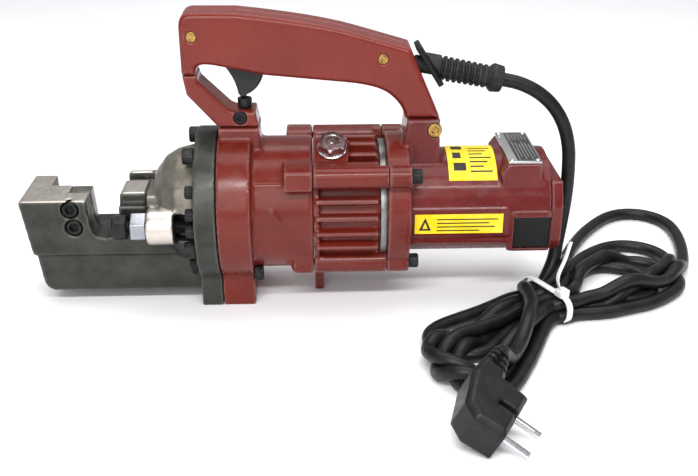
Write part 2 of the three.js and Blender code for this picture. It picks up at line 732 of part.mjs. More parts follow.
function handleShell(way) {
  let shell = sideProfile(handleShape(0), -HANDLE_HALF_WIDTH, HANDLE_HALF_WIDTH, 2.5);
  const inner = HANDLE_HALF_WIDTH - HANDLE_WALL;
  shell = shell.subtract(sideProfile(handleShape(HANDLE_WALL), -inner, inner));
  for (const { x, z } of HANDLE_SCREWS) {
    shell = shell.add(bar([x, -14, z], [x, 14, z], 5, 16));
    shell = shell.subtract(bar([x, -20, z], [x, -12.5, z], 3.9, 16));
    shell = shell.subtract(bar([x, -20, z], [x, 10, z], 2, 10));
  }
  shell = shell.subtract(box(-50, -15.5, -5.9, 5.9, 160, 184));
  const [gx, gz] = BOOT_START;
  shell = shell.subtract(bar([gx - 16, 0, gz + 3.2], [gx + 10, 0, gz - 2], 7.6, 16));
  // the pin that the trigger turns on, moulded half in each shell
  const [px, pz] = TRIGGER_PIVOT;
  shell = shell.add(bar([px, -13, pz], [px, 13, pz], 2, 12));
  const keep = way < 0 ? box(-100, 130, -30, -0.15, 100, 250) : box(-100, 130, 0.15, 30, 100, 250);
  return shell.intersect(keep);
}

function handleScrew(x, z) {
  return bar([x, -14.2, z], [x, -12.8, z], 3.6, 16)
    .add(bar([x, -13, z], [x, 9, z], 1.7, 10))
    .subtract(box(x - 2.4, x + 2.4, -16, -13.7, z - 0.5, z + 0.5))
    .subtract(box(x - 0.5, x + 0.5, -16, -13.7, z - 2.4, z + 2.4));
}

function frontBracket() {
  const shape = polygon([
    [-74.4, SEAM_Z - 0.1], [-64.2, SEAM_Z - 0.1], [-63.4, 167.8], [-42.5, 147.2], [-39, 145.5],
    [-24, 145.5], [-22, 134.3], [-51, 134.3], [-72, 158.2],
  ]);
  return sideProfile(shape, -13, 13, 1.5)
    .subtract(bar([BRACKET_SCREW_X, 0, 160], [BRACKET_SCREW_X, 0, 120], 4, 12))
    .subtract(bar([-35, -20, 141], [-35, -9.5, 141], 5, 16))
    .subtract(bar([-35, -20, 141], [-35, -5, 141], 2.9, 10));
}

function bracketScrew() {
  const x = BRACKET_SCREW_X;
  return bar([x, 0, 145.8], [x, 0, 152.6], 5.2, 16)
    .add(bar([x, 0, 123], [x, 0, 146.5], 3.6, 12))
    .subtract(bar([x, 0, 149.5], [x, 0, 160], 3, 6));
}

function bracketSideScrew() {
  return bar([-35, -12.6, 141], [-35, -9.8, 141], 4.6, 16)
    .add(bar([-35, -10, 141], [-35, -5.5, 141], 2.6, 10))
    .subtract(bar([-35, -14, 141], [-35, -11, 141], 2.5, 6));
}

function trigger() {
  const [px, pz] = TRIGGER_PIVOT;
  const shape = new THREE.Shape();
  shape.moveTo(-51, 190.5);
  shape.lineTo(-51, 186);
  shape.lineTo(-48, 180);
  shape.quadraticCurveTo(-38, 170, -36, 156.5);
  shape.quadraticCurveTo(-33, 152.2, -30, 156);
  shape.quadraticCurveTo(-20.5, 160, -17.5, 171.5);
  shape.lineTo(-17.5, 184);
  shape.lineTo(-44, 190.5);
  return sideProfile(shape, -5.4, 5.4, 1)
    .subtract(bar([px, -10, pz], [px, 10, pz], 2.3, 12));
}

function switchBody() {
  return box(-36, -2, -8, 8, 192.2, 205).add(box(-2.5, 4, -4, 4, 194, 203));
}

// A direction along the gland face and one out of it, in X and Z.
const glandSlope = new THREE.Vector2(...GLAND_LOW).sub(new THREE.Vector2(...GLAND_HIGH)).normalize();
const glandOut = new THREE.Vector2(-glandSlope.y, glandSlope.x);

function glandPlate() {
  const away = 0.5;
  const [hx, hz] = GLAND_HIGH;
  const [lx, lz] = GLAND_LOW;
  const out = (x, z, t) => [x + glandOut.x * t, z + glandOut.y * t];
  const plate = polygon([out(hx, hz, away), out(lx, lz, away), out(lx, lz, 4.5), out(hx, hz, 4.5)]);
  const [gx, gz] = BOOT_START;
  return sideProfile(plate, -11, 11, 0.8)
    .subtract(bar([gx - 16, 0, gz + 3.2], [gx + 10, 0, gz - 2], 6.6, 16));
}

function cordBoot() {
  const [x0, z0] = BOOT_START;
  const [x1, z1] = BOOT_END;
  const length = Math.hypot(x1 - x0, z1 - z0);
  const profile = [[-6, 0], [-6, 9.2], [4.2, 9.2]];
  const ribs = 9;
  const ribPitch = (length - 14) / ribs;
  for (let i = 0; i < ribs; i += 1) {
    const x = 4.2 + i * ribPitch;
    const radius = 9.2 - 0.08 * i;
    profile.push([x + 0.55 * ribPitch, radius], [x + 0.6 * ribPitch, 7.2]);
    profile.push([x + ribPitch, 7.2], [x + 1.05 * ribPitch, radius - 0.1]);
  }
  profile.push([length - 7, 10.6], [length, 9.6], [length, 0]);
  const points = profile.map(([x, r]) => new THREE.Vector2(r, x));
  const geometry = new THREE.LatheGeometry(points, 14).rotateZ(-Math.PI / 2);
  geometry.rotateY(Math.atan2(z0 - z1, x1 - x0)).translate(x0, 0, z0);
  // the ribbed body starts clear of the gland plate, and a spigot runs through it
  const reach = 40;
  const upper = [GLAND_HIGH[0] - glandSlope.x * reach, GLAND_HIGH[1] - glandSlope.y * reach];
  const lower = [GLAND_LOW[0] + glandSlope.x * reach, GLAND_LOW[1] + glandSlope.y * reach];
  const behind = polygon([
    [upper[0] + glandOut.x * 4.8, upper[1] + glandOut.y * 4.8],
    [lower[0] + glandOut.x * 4.8, lower[1] + glandOut.y * 4.8],
    [lower[0] - reach, lower[1]],
    [upper[0] - reach, upper[1]],
  ]);
  return solid(geometry)
    .subtract(sideProfile(behind, -20, 20))
    .add(bar([x0 - 12, 0, z0 + 2.4], [x0 + 14, 0, z0 - 2.8], 6.1, 14));
}

// ---------------------------------------------------------------- mains lead

// The lead's free stretch, from the boot down to the hank on the floor.
const CORD_ROUTE = [
  [153.2, 0, 164.1], [166, 0, 161], [179.5, -0.5, 154.5], [191.5, -1, 144], [200.5, -1.5, 129.5],
  [205.5, -2, 112], [207, -2, 93], [207, -2, 74], [205.5, -2.5, 55], [201.5, -4, 38],
  [195.5, -7.5, 24], [188, -13, 13.5], [180.5, -19.5, 8],
];

function cordTube() {
  const points = CORD_ROUTE.map((p) => new THREE.Vector3(...p));
  const curve = new THREE.CatmullRomCurve3(points, false, 'centripetal');
  return tube(curve, CORD_D / 2, 3, 22);
}

const HANK_HEIGHT = 22;
const TIE_PLACE = [187, -50];
const TIE_TURN = THREE.MathUtils.degToRad(28);

function hankOutline() {
  const shape = new THREE.Shape();
  shape.moveTo(84, -100);
  shape.quadraticCurveTo(88, -60, 126, -44);
  shape.lineTo(160, -38);
  shape.lineTo(176, -29);
  shape.lineTo(204, -8);
  shape.quadraticCurveTo(232, 78, 300, 128);
  shape.quadraticCurveTo(338, 128, 332, 56);
  shape.quadraticCurveTo(322, -22, 280, -50);
  shape.quadraticCurveTo(236, -62, 206, -74);
  shape.quadraticCurveTo(180, -108, 156, -128);
  shape.lineTo(116, -160);
  shape.quadraticCurveTo(96, -176, 88, -158);
  shape.quadraticCurveTo(80, -140, 84, -100);
  return shape;
}

// A box about the tie's place, turned to lie across the hank.
function tieBox(halfLength, halfWidth, z0, z1) {
  const geometry = new THREE.BoxGeometry(2 * halfLength, 2 * halfWidth, z1 - z0);
  geometry.rotateZ(TIE_TURN).translate(...TIE_PLACE, (z0 + z1) / 2);
  return solid(geometry);
}

function cordHank() {
  const geometry = new THREE.ExtrudeGeometry(hankOutline(), {
    depth: HANK_HEIGHT, bevelEnabled: false, steps: 1, curveSegments: 8,
  });
  const waist = tieBox(8, 60, -1, HANK_HEIGHT + 1).subtract(tieBox(9, 24, 1.8, HANK_HEIGHT - 1));
  return solid(geometry).subtract(waist);
}

function cableTie() {
  const band = tieBox(2, 26, 0.2, HANK_HEIGHT + 0.8).subtract(tieBox(3, 24.3, 1.5, HANK_HEIGHT - 0.7));
  const head = tieBox(3, 3.5, HANK_HEIGHT - 0.5, HANK_HEIGHT + 4.5);
  const [x, y] = TIE_PLACE;
  const tail = bar([x, y, HANK_HEIGHT + 3], [x + 14, y, HANK_HEIGHT + 36], 1.5, 6);
  return band.add(head).add(tail);
}

// The plug's own directions: along its pins, towards its cable, and across both.
const plugPins = new THREE.Vector3(0.8, -0.42, -0.43).normalize();
const plugCable = new THREE.Vector3(0.5, 0.85, 0.1);
plugCable.addScaledVector(plugPins, -plugCable.dot(plugPins)).normalize();
const plugAcross = new THREE.Vector3().crossVectors(plugPins, plugCable);
const PLUG_CENTRE = [119, -206, 19.2];
const plugTurn = new THREE.Matrix4().makeBasis(plugPins, plugCable, plugAcross);
const PIN_SPACING = 19;
const PIN_FACE = 14;

function inPlugFrame(body) {
  const { vertProperties, triVerts } = body.getMesh();
  const geometry = new THREE.BufferGeometry();
  geometry.setAttribute('position', new THREE.BufferAttribute(new Float32Array(vertProperties), 3));
  geometry.setIndex(new THREE.BufferAttribute(new Uint32Array(triVerts), 1));
  return solid(geometry.applyMatrix4(plugTurn).translate(...PLUG_CENTRE));
}

function plugBody() {
  const outline = new THREE.Shape();
  outline.moveTo(PIN_FACE, -19);
  outline.lineTo(PIN_FACE, 19);
  outline.lineTo(-4, 21);
  outline.lineTo(-8, 42);
  outline.lineTo(-20, 42);
  outline.lineTo(-23, 12);
  outline.lineTo(-16, -14);
  outline.lineTo(-6, -21);
  const flat = new THREE.ExtrudeGeometry(outline, {
    depth: 22,
    steps: 1,
    bevelEnabled: true,
    bevelThickness: 3,
    bevelSize: 3,
    bevelOffset: -3,
    bevelSegments: 1,
  });
  let body = solid(flat.translate(0, 0, -11));
  // slots that let the strain relief bend
  for (const along of [28, 33, 38]) {
    body = body.subtract(box(-30, -11, along, along + 2, -20, 20));
    body = body.subtract(box(-17, 0, along - 2.5, along - 0.5, 8, 20));
    body = body.subtract(box(-17, 0, along - 2.5, along - 0.5, -20, -8));
  }
  // the recess of the pin carrier and the two earth grooves
  body = body.subtract(box(PIN_FACE - 4, PIN_FACE + 5, -14, 14, -4.5, 4.5));
  body = body.subtract(box(PIN_FACE - 14, PIN_FACE + 5, -2.5, 2.5, 9, 20));
  body = body.subtract(box(PIN_FACE - 14, PIN_FACE + 5, -2.5, 2.5, -20, -9));
  return inPlugFrame(body);
}

function plugPinPair() {
  let pair = box(PIN_FACE - 3.6, PIN_FACE - 0.5, -13.6, 13.6, -4.1, 4.1);
  for (const way of [-1, 1]) {
    const y = way * PIN_SPACING / 2;
    pair = pair.add(rod(PIN_FACE - 1, PIN_FACE + 17.5, 2.4, y, 0, 16));
    pair = pair.add(rod(PIN_FACE + 17.4, PIN_FACE + 19, 2.4, y, 0, 16, 1.3));
  }
  return inPlugFrame(pair);
}

// ---------------------------------------------------------------- assembly

place('cutter_head', cutterHead(), CAST_STEEL);
place('fixed_die', fixedDie(), DIE_STEEL);
for (const { name, x, z } of DIE_SCREW_PLACES) {
  place(`die_screw_${name}`, dieScrew(x, z), BLACK_OXIDE);
}
FLANGE_SCREW_ANGLES.forEach((degrees, i) => {
  place(`head_screw_${i + 1}`, capScrew(FLANGE_FRONT - GAP, 1, 31, 8, ...onFlange(degrees)), BLACK_OXIDE);
});
place('stopper_bolt', stopperBolt(), BLACK_OXIDE);
place('stopper_lock_nut', stopperNut(), BLACK_OXIDE);
place('cylinder_liner', cylinderLiner(), BRIGHT_STEEL);
place('ram', ram(), BRIGHT_STEEL);
place('ram_seal', ramSeal(), BLACK_RUBBER);
place('moving_die', movingDie(), DIE_STEEL);
place('moving_die_screw', movingDieScrew(), BLACK_OXIDE);
place('return_spring', tube(new SpringCurve(), 1.7, 2, 64), BRIGHT_STEEL);
place('pump_case', pumpCase(), RED_PAINT);
place('pump_block', pumpBlock(), CAST_STEEL);
place('pump_plunger', pumpPlunger(), BRIGHT_STEEL);
place('eccentric_shaft', eccentricShaft(), BRIGHT_STEEL);
place('drive_gear', driveGear(), BRIGHT_STEEL);
place('oil_bladder', oilBladder(), BLACK_RUBBER);
place('finned_housing', finnedHousing(), RED_PAINT);
place('oil_plug', oilPlug(), BRIGHT_STEEL);
place('motor_adapter', motorAdapter(), ALUMINIUM);
place('front_bearing', ballBearing(57.8, 68.7), BRIGHT_STEEL);
place('motor_housing', motorHousing(), RED_PAINT);
for (const { name, y, z } of BOLT_PLACES) {
  place(`long_bolt_${name}`, longBolt(y, z), BLACK_OXIDE);
}
place('stator_core', statorCore(), CAST_STEEL);
place('armature', armature(), BRIGHT_STEEL);
place('commutator', commutator(), COPPER);
place('cooling_fan', coolingFan(), BLACK_PLASTIC);
place('brush_near', carbonBrush(-1), CARBON);
place('brush_far', carbonBrush(1), CARBON);
place('brush_cover_near', brushCover(-1), BLACK_PLASTIC);
place('brush_cover_far', brushCover(1), BLACK_PLASTIC);
place('rear_bearing', ballBearing(183, 194), BRIGHT_STEEL);
place('end_cover', endCover(), RED_PAINT);
place('terminal_cover', terminalCover(), PLATE_METAL);
place('handle_near_shell', handleShell(-1), RED_PAINT);
place('handle_far_shell', handleShell(1), RED_PAINT);
for (const { name, x, z } of HANDLE_SCREWS) {
  place(`handle_screw_${name}`, handleScrew(x, z), BRASS);
}
place('handle_lug_screw', lugScrew(), BLACK_OXIDE);
place('front_bracket', frontBracket(), RED_PAINT);
place('bracket_screw', bracketScrew(), BLACK_OXIDE);
place('bracket_side_screw', bracketSideScrew(), BLACK_OXIDE);
place('trigger', trigger(), BLACK_PLASTIC);
place('switch_body', switchBody(), BLACK_PLASTIC);
place('gland_plate', glandPlate(), BLACK_RUBBER);
place('cord_boot', cordBoot(), BLACK_RUBBER);
place('cord_tube', cordTube(), BLACK_RUBBER);
place('cord_hank', cordHank(), BLACK_RUBBER);
place('cable_tie', cableTie(), WHITE_NYLON);
place('plug_body', plugBody(), BLACK_RUBBER);
place('plug_pins', plugPinPair(), BRIGHT_STEEL);

export default group;
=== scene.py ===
"""Portable rebar cutter: every visible piece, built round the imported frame.

Sizes in the tables are millimetres in the frame's own axes: +X points at the
motor, the jaws are at -X, the operator's near side is -Y, and the floor is Z 0.
"""

import json
import math

import bmesh
import bpy
import numpy as np
from bpy.props import FloatProperty, FloatVectorProperty, IntProperty, PointerProperty
from mathutils import Matrix, Vector

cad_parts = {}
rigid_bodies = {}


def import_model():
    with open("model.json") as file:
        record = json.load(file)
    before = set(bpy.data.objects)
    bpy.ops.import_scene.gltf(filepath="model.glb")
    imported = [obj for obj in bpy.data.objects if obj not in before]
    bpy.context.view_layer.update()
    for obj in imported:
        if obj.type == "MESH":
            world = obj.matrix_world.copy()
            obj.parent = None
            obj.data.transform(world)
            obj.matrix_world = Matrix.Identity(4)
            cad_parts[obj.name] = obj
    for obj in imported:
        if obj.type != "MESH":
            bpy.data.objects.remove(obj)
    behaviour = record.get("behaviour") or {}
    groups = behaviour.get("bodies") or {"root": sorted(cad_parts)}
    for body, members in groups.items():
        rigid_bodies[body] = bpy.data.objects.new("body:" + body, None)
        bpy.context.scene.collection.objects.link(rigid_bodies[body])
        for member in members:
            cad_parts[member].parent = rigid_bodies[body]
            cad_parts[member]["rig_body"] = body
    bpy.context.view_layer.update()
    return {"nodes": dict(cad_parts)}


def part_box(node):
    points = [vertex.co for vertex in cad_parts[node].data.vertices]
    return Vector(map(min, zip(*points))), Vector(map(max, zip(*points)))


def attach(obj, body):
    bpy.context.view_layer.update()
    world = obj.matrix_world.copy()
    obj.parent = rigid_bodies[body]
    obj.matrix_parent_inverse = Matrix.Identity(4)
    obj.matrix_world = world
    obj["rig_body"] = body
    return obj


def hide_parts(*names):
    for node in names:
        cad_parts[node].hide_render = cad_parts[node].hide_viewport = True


bl_info = {
    "name": "Portable Rebar Cutter",
    "version": (1, 0, 0),
    "blender": (4, 5, 0),
    "location": "View3D > Sidebar > Rebar Cutter",
    "description": "Builds the visible pieces of a hydraulic rebar cutter round its packed frame",
    "category": "Object",
}

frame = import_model()

MM = 0.001
AXIS = 72.0                                 # height of the ram axis
MOTOR_AXIS = AXIS + 0.5
FLANGE_R, CASE_FLANGE_R, BARREL_R = 57.0, 56.4, 49.0
CYLINDER_BORE, OIL_BORE = 28.3, 40.5        # the ram's cylinder, and the oil space behind it
STOPPER_Y, STOPPER_Z = -37.4, 68.5          # line of the stopper bolt
ROUND = 160                                 # sides of the large turned faces
FLANGE_FRONT, FLANGE_BACK = -68.0, -52.3    # cutter head's bolting flange
CASE_FLANGE_BACK, CASE_BACK = -28.0, 16.0
FINS_BACK, RING_FRONT, RING_BACK = 62.0, 69.3, 85.4
MOTOR_BACK, COVER_BACK = 188.0, 196.5
CORD_D = 10.0


# ---------------------------------------------------------------- shapes

def shade(red, green, blue):
    """A display colour, 0 to 255, as the linear colour that shaders take."""
    def linear(value):
        value /= 255
        return value / 12.92 if value <= 0.04045 else ((value + 0.055) / 1.055) ** 2.4
    return (linear(red), linear(green), linear(blue))


def outline(corners):
    """A closed outline from (a, b) corners; a corner (a, b, radius) is rounded."""
    points = []
    for i, corner in enumerate(corners):
        here = Vector(corner[:2])
        if len(corner) == 2:
            points.append(here)
            continue
        back = (Vector(corners[i - 1][:2]) - here).normalized()
        on = (Vector(corners[(i + 1) % len(corners)][:2]) - here).normalized()
        half = math.acos(max(-1, min(1, back.dot(on)))) / 2
        centre = here + (back + on).normalized() * corner[2] / math.sin(half)
        start = here + back * corner[2] / math.tan(half) - centre
        end = here + on * corner[2] / math.tan(half) - centre
        first = math.atan2(start.y, start.x)
        turn = (math.atan2(end.y, end.x) - first + math.pi) % math.tau - math.pi
        steps = max(3, int(abs(turn) / math.radians(10)))
        for step in range(steps + 1):
            angle = first + turn * step / steps
            points.append(centre + Vector((math.cos(angle), math.sin(angle))) * corner[2])
    return points


def across(direction):
    """Two unit vectors square to a direction and to each other."""
    along = Vector(direction).normalized()
    side = along.cross(Vector((0, 0, 1)))
    if side.length < 1e-3:
        side = along.cross(Vector((0, 1, 0)))
    side.normalize()
    return side, along.cross(side)


def section(kind, t, angle, index):
    """Radius of a turned section: a number, a hexagon, a knurl or a screw thread."""
    if not isinstance(kind, tuple):
        return kind
    if kind[0] == "hex":                    # half width over flats, then the radius of its chamfer
        reach = kind[1] / math.cos(angle % (math.pi / 3) - math.pi / 6)
        return min(reach, kind[2]) if len(kind) > 2 else reach
    if kind[0] == "knurl":                  # radius, depth
        return kind[1] - (kind[2] if index % 4 > 1 else 0.0)
    phase = (t / kind[3] - angle / math.tau) % 1
    return kind[1] + kind[2] * (1 - abs(2 * phase - 1))     # root radius, depth, pitch


class Form:
    """Closed shapes in millimetres, kept apart so that each can be joined or cut on its own."""

    def __init__(self):
        self.shapes = []

    def add(self, points, faces):
        self.shapes.append(([Vector(p) for p in points], faces))
        return self

    def slab(self, corners, axis, low, high):
        """An outline drawn square to an axis and carried from low to high along it."""
        flat = outline(corners)
        put = {"x": lambda a, b, t: (t, a, b), "y": lambda a, b, t: (a, t, b),
               "z": lambda a, b, t: (a, b, t)}[axis]
        n = len(flat)
        points = [put(p.x, p.y, t) for t in (low, high) for p in flat]
        faces = [list(range(n)), list(range(2 * n - 1, n - 1, -1))]
        faces += [[i, (i + 1) % n, (i + 1) % n + n, i + n] for i in range(n)]
        return self.add(points, faces)

    def box(self, x0, x1, y0, y1, z0, z1):
        return self.slab([(x0, y0), (x1, y0), (x1, y1), (x0, y1)], "z", z0, z1)

    def lathe(self, profile, at=(0, 0, 0), along=(1, 0, 0), sides=64, turn=0.0):
        """(distance, section) stations along an axis; a section is a radius or a tuple, see section()."""
        axis, at = Vector(along).normalized(), Vector(at)
        u, v = across(axis)
        points, faces = [], []
        for t, kind in profile:
            for i in range(sides):
                angle = math.tau * i / sides
                r = section(kind, t, angle, i)
                angle += turn
                points.append(at + axis * t + (u * math.cos(angle) + v * math.sin(angle)) * r)
        for k in range(len(profile) - 1):
            for i in range(sides):
                j = (i + 1) % sides
                faces.append([k * sides + i, k * sides + j, (k + 1) * sides + j, (k + 1) * sides + i])
        last = (len(profile) - 1) * sides
        faces += [list(range(sides - 1, -1, -1)), [last + i for i in range(sides)]]
        return self.add(points, faces)

    def cap_screw(self, at, way, head, tall, socket, reach, turn=0.0):
        """A knurled cap screw: head standing tall on its seat, hexagon socket, shank behind it."""
        deep = min(tall * 0.6, head)
        return self.lathe([(-reach, head * 0.5), (-0.05, head * 0.5), (0, head - 0.3), (0.3, head),
                           (0.6, head), (0.9, ("knurl", head, 0.28)),
                           (tall - 1.3, ("knurl", head, 0.28)), (tall - 1.1, head - 0.05),
                           (tall - 0.45, head - 0.12), (tall, head - 0.65),
                           (tall, ("hex", socket + 0.35)), (tall - 0.35, ("hex", socket)),
                           (tall - deep, ("hex", socket)), (tall - deep - 0.8, 0.3)],
                          at, way, 96, turn)

    def rod(self, start, end, radius, sides=48, turn=0.0):
        start, end = Vector(start), Vector(end)
        return self.lathe([(0, radius), ((end - start).length, radius)], start, end - start,
                          sides, turn)

    def tube(self, line, radius, sides=16, squash=1.0):
        """A round bar, or a flat one with squash, that follows a line of points."""
        line = [Vector(p) for p in line]
        points, faces = [], []
        side = across(line[1] - line[0])[0]
        for i, here in enumerate(line):
            along = (line[min(i + 1, len(line) - 1)] - line[max(i - 1, 0)]).normalized()
            side = (side - along * side.dot(along)).normalized()
            up = along.cross(side)
            reach = radius[i] if hasattr(radius, "__len__") else radius
            for k in range(sides):
                a = math.tau * k / sides
                points.append(here + side * math.cos(a) * reach + up * math.sin(a) * reach * squash)
        for k in range(len(line) - 1):
            for i in range(sides):
                j = (i + 1) % sides
                faces.append([k * sides + i, k * sides + j, (k + 1) * sides + j, (k + 1) * sides + i])
        last = (len(line) - 1) * sides
        faces += [list(range(sides - 1, -1, -1)), [last + i for i in range(sides)]]
        return self.add(points, faces)

    def moved(self, matrix):
        """These shapes carried by a 4 x 4 matrix in millimetres."""
        other = Form()
        for points, faces in self.shapes:
            other.add([matrix @ p for p in points], faces)
        return other

    def plus(self, other):
        self.shapes += other.shapes
        return self

    def mesh(self, name, only=None):
        """One Blender mesh, in metres, of all the shapes or of one of them."""
        chosen = self.shapes if only is None else [self.shapes[only]]
        points, faces = [], []
        for corners, sides in chosen:
            base = len(points)
            points += [p * MM for p in corners]
            faces += [[base + i for i in face] for face in sides]
        mesh = bpy.data.meshes.new(name)
        mesh.from_pydata(points, [], faces)
        work = bmesh.new()
        work.from_mesh(mesh)
        bmesh.ops.recalc_face_normals(work, faces=work.faces)
        work.to_mesh(mesh)
        work.free()
        return mesh


def stand(name, mesh):
    """A mesh as an object in the scene."""
    piece = bpy.data.objects.new(name, mesh)
    bpy.context.scene.collection.objects.link(piece)
    return piece


def settle(piece):
    """Puts a piece's modifiers into its mesh."""
    graph = bpy.context.evaluated_depsgraph_get()
    made = bpy.data.meshes.new_from_object(piece.evaluated_get(graph))
    old = piece.data
    piece.modifiers.clear()
    piece.data = made
    made.name = piece.name
    bpy.data.meshes.remove(old)
    return piece


def carve(piece, cuts):
    """Takes each shape of a form out of a piece."""
    tools = [stand("cutting_tool", cuts.mesh("cutting_tool", i)) for i in range(len(cuts.shapes))]
    for tool in tools:
        change = piece.modifiers.new("cut", "BOOLEAN")
        change.operation, change.object, change.solver = "DIFFERENCE", tool, "MANIFOLD"
    settle(piece)
    for tool in tools:
        data = tool.data
        bpy.data.objects.remove(tool)
        bpy.data.meshes.remove(data)
    return piece


def from_node(node, name):
    """A new piece that starts as a welded copy of a frame node's solid."""
    mesh = frame["nodes"][node].data.copy()
    mesh.name = name
    mesh.materials.clear()
    work = bmesh.new()
    work.from_mesh(mesh)
    bmesh.ops.remove_doubles(work, verts=work.verts, dist=2e-6)
    bmesh.ops.recalc_face_normals(work, faces=work.faces)
    work.to_mesh(mesh)
    work.free()
    return stand(name, mesh)


def join_form(piece, form):
    """Adds a form's closed shapes to a piece's mesh, to be melted together by a recast."""
    if form is None or not form.shapes:
        return piece
    work = bmesh.new()
    work.from_mesh(piece.data)
    extra = form.mesh("extra")
    work.from_mesh(extra)
    work.to_mesh(piece.data)
    work.free()
    bpy.data.meshes.remove(extra)
    return piece


def recast(piece, grain, rounds=0):
    """Melts overlapping shapes into one skin of even facets and softens its edges."""
    change = piece.modifiers.new("skin", "REMESH")
    change.mode, change.voxel_size, change.use_smooth_shade = "VOXEL", grain * MM, True
    if rounds:
        soft = piece.modifiers.new("soften", "SMOOTH")
        soft.factor, soft.iterations = 0.5, rounds
    return settle(piece)


def casting(name, node, adds=None, cuts=None, bores=None, grain=1.1, rounds=5):
    """A sand-cast or die-cast body: soft edges everywhere, then crisp machined cuts."""
    piece = from_node(node, name) if isinstance(node, str) else stand(name, node.mesh(name))
    join_form(piece, adds)
    if cuts is not None:
        recast(piece, grain)
        carve(piece, cuts)
    recast(piece, grain, rounds)
    if bores is not None:
        carve(piece, bores)
    piece.data.shade_smooth()
    piece.data.set_sharp_from_angle(angle=math.radians(38))
    return piece


def turned(name, form, edge=0.35, steps=2, sharp=34, bores=None):
    """A machined or moulded small part: its real facets with a fine bevel on each edge."""
    piece = stand(name, form.mesh(name)) if isinstance(form, Form) else from_node(form, name)
    if bores is not None:
        carve(piece, bores, "EXACT")
    if edge:
        change = piece.modifiers.new("edge", "BEVEL")
        change.width, change.segments = edge * MM, steps
        change.limit_method, change.angle_limit = "ANGLE", math.radians(sharp)
        change.harden_normals = False
        settle(piece)
    piece.data.shade_smooth()
    piece.data.set_sharp_from_angle(angle=math.radians(sharp))
    return piece


def fit(piece, finishes, nodes=(), body=None):
    """Gives a piece its finish, puts it on its body and lets it stand for its frame nodes."""
    piece.data.materials.clear()
    for finish in finishes if isinstance(finishes, (list, tuple)) else [finishes]:
        piece.data.materials.append(finish)
    nodes = [nodes] if isinstance(nodes, str) else list(nodes)
    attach(piece, body or frame["nodes"][nodes[0]]["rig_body"])
    if nodes:
        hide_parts(*nodes)
    return piece


def paint_faces(piece, index, chosen):
    """Gives a material number to each face whose centre (mm) and normal pass a test."""
    for face in piece.data.polygons:
        if chosen(face.center / MM, face.normal):
            face.material_index = index


# ---------------------------------------------------------------- finishes

class Finish:
    """A node-built surface. Lengths of patterns are in millimetres."""

    def __init__(self, name, colour, roughness, **sockets):
        self.material = bpy.data.materials.new(name)
        self.material.use_nodes = True
        self.tree = self.material.node_tree
        self.shader = self.tree.nodes["Principled BSDF"]
        self.shader.inputs["Base Color"].default_value = (*colour, 1)
        self.shader.inputs["Roughness"].default_value = roughness
        for label, value in sockets.items():
            self.shader.inputs[label.replace("_", " ")].default_value = value
        self.place = self.node("ShaderNodeTexCoord").outputs["Object"]
        self.height = None

    def node(self, kind, **settings):
        made = self.tree.nodes.new(kind)
        for label, value in settings.items():
            setattr(made, label, value)
        return made

    def link(self, value, socket):
        if isinstance(value, bpy.types.NodeSocket):
            self.tree.links.new(value, socket)
        else:
            socket.default_value = value

    def stretch(self, x, y, z):
        """The place on the surface with each axis stretched."""
        made = self.node("ShaderNodeMapping")
        self.link(self.place, made.inputs["Vector"])
        made.inputs["Scale"].default_value = (x, y, z)
        return made.outputs["Vector"]

    def grain(self, size, detail=3.0, rough=0.55, place=None):
        """Cloudy noise whose blobs are about size mm."""
        made = self.node("ShaderNodeTexNoise")
        self.link(place or self.place, made.inputs["Vector"])
        made.inputs["Scale"].default_value = 1 / (size * MM)
        made.inputs["Detail"].default_value = detail
        made.inputs["Roughness"].default_value = rough
        return made.outputs["Fac"]

    def bands(self, size, axis="X"):
        made = self.node("ShaderNodeTexWave", bands_direction=axis)
        self.link(self.place, made.inputs["Vector"])
        made.inputs["Scale"].default_value = 0.314 / (size * MM)
        return made.outputs["Fac"]

    def window(self, value, low, high, start=0.0, end=1.0):
        """Spreads the part of a value between low and high over start to end."""
        made = self.node("ShaderNodeMapRange")
        self.link(value, made.inputs["Value"])
        for label, number in zip(("From Min", "From Max", "To Min", "To Max"),
                                 (low, high, start, end)):
            made.inputs[label].default_value = number
        return made.outputs["Result"]

    def edges(self, low=0.51, high=0.6):
        """High on convex edges of a finely divided mesh."""
        return self.window(self.node("ShaderNodeNewGeometry").outputs["Pointiness"], low, high)

    def blend(self, amount, first, second):
        made = self.node("ShaderNodeMix", data_type="RGBA")
        self.link(amount, made.inputs[0])
        for value, socket in ((first, made.inputs[6]), (second, made.inputs[7])):
            self.link((*value, 1) if isinstance(value, tuple) else value, socket)
        return made.outputs[2]

    def colour(self, value):
        self.link(value, self.shader.inputs["Base Color"])
        return self

    def rough(self, value):
        self.link(value, self.shader.inputs["Roughness"])
        return self

    def bump(self, value, deep, strength=1.0):
        """Raises the surface by deep mm where the value is 1; calls stack up."""
        made = self.node("ShaderNodeBump")
        made.inputs["Distance"].default_value = deep * MM
        made.inputs["Strength"].default_value = strength
        self.link(value, made.inputs["Height"])
        if self.height is not None:
            self.link(self.height, made.inputs["Normal"])
        self.height = made.outputs["Normal"]
        self.link(self.height, self.shader.inputs["Normal"])
        return self


FINISHES = {}


def enamel(name, base, deep, light):
    """Gloss enamel over a casting: slow colour drift, worn lighter edges, cast grain below."""
    f = Finish(name, base, 0.24, Specular_IOR_Level=0.3)
    drift = f.blend(f.window(f.grain(38, 4), 0.35, 0.68), base, deep)
    worn = f.blend(f.window(f.edges(0.515, 0.56), 0, 1, 0, 0.5), drift, light)
    dust = f.blend(f.window(f.grain(1.6, 6, 0.7), 0.66, 0.8, 0, 0.35), worn, light)
    f.colour(dust).rough(f.window(f.grain(9, 5), 0.3, 0.7, 0.17, 0.34))
    f.bump(f.grain(16, 2), 0.4, 0.3).bump(f.grain(1.5, 4, 0.6), 0.06, 0.5)
    return f.material


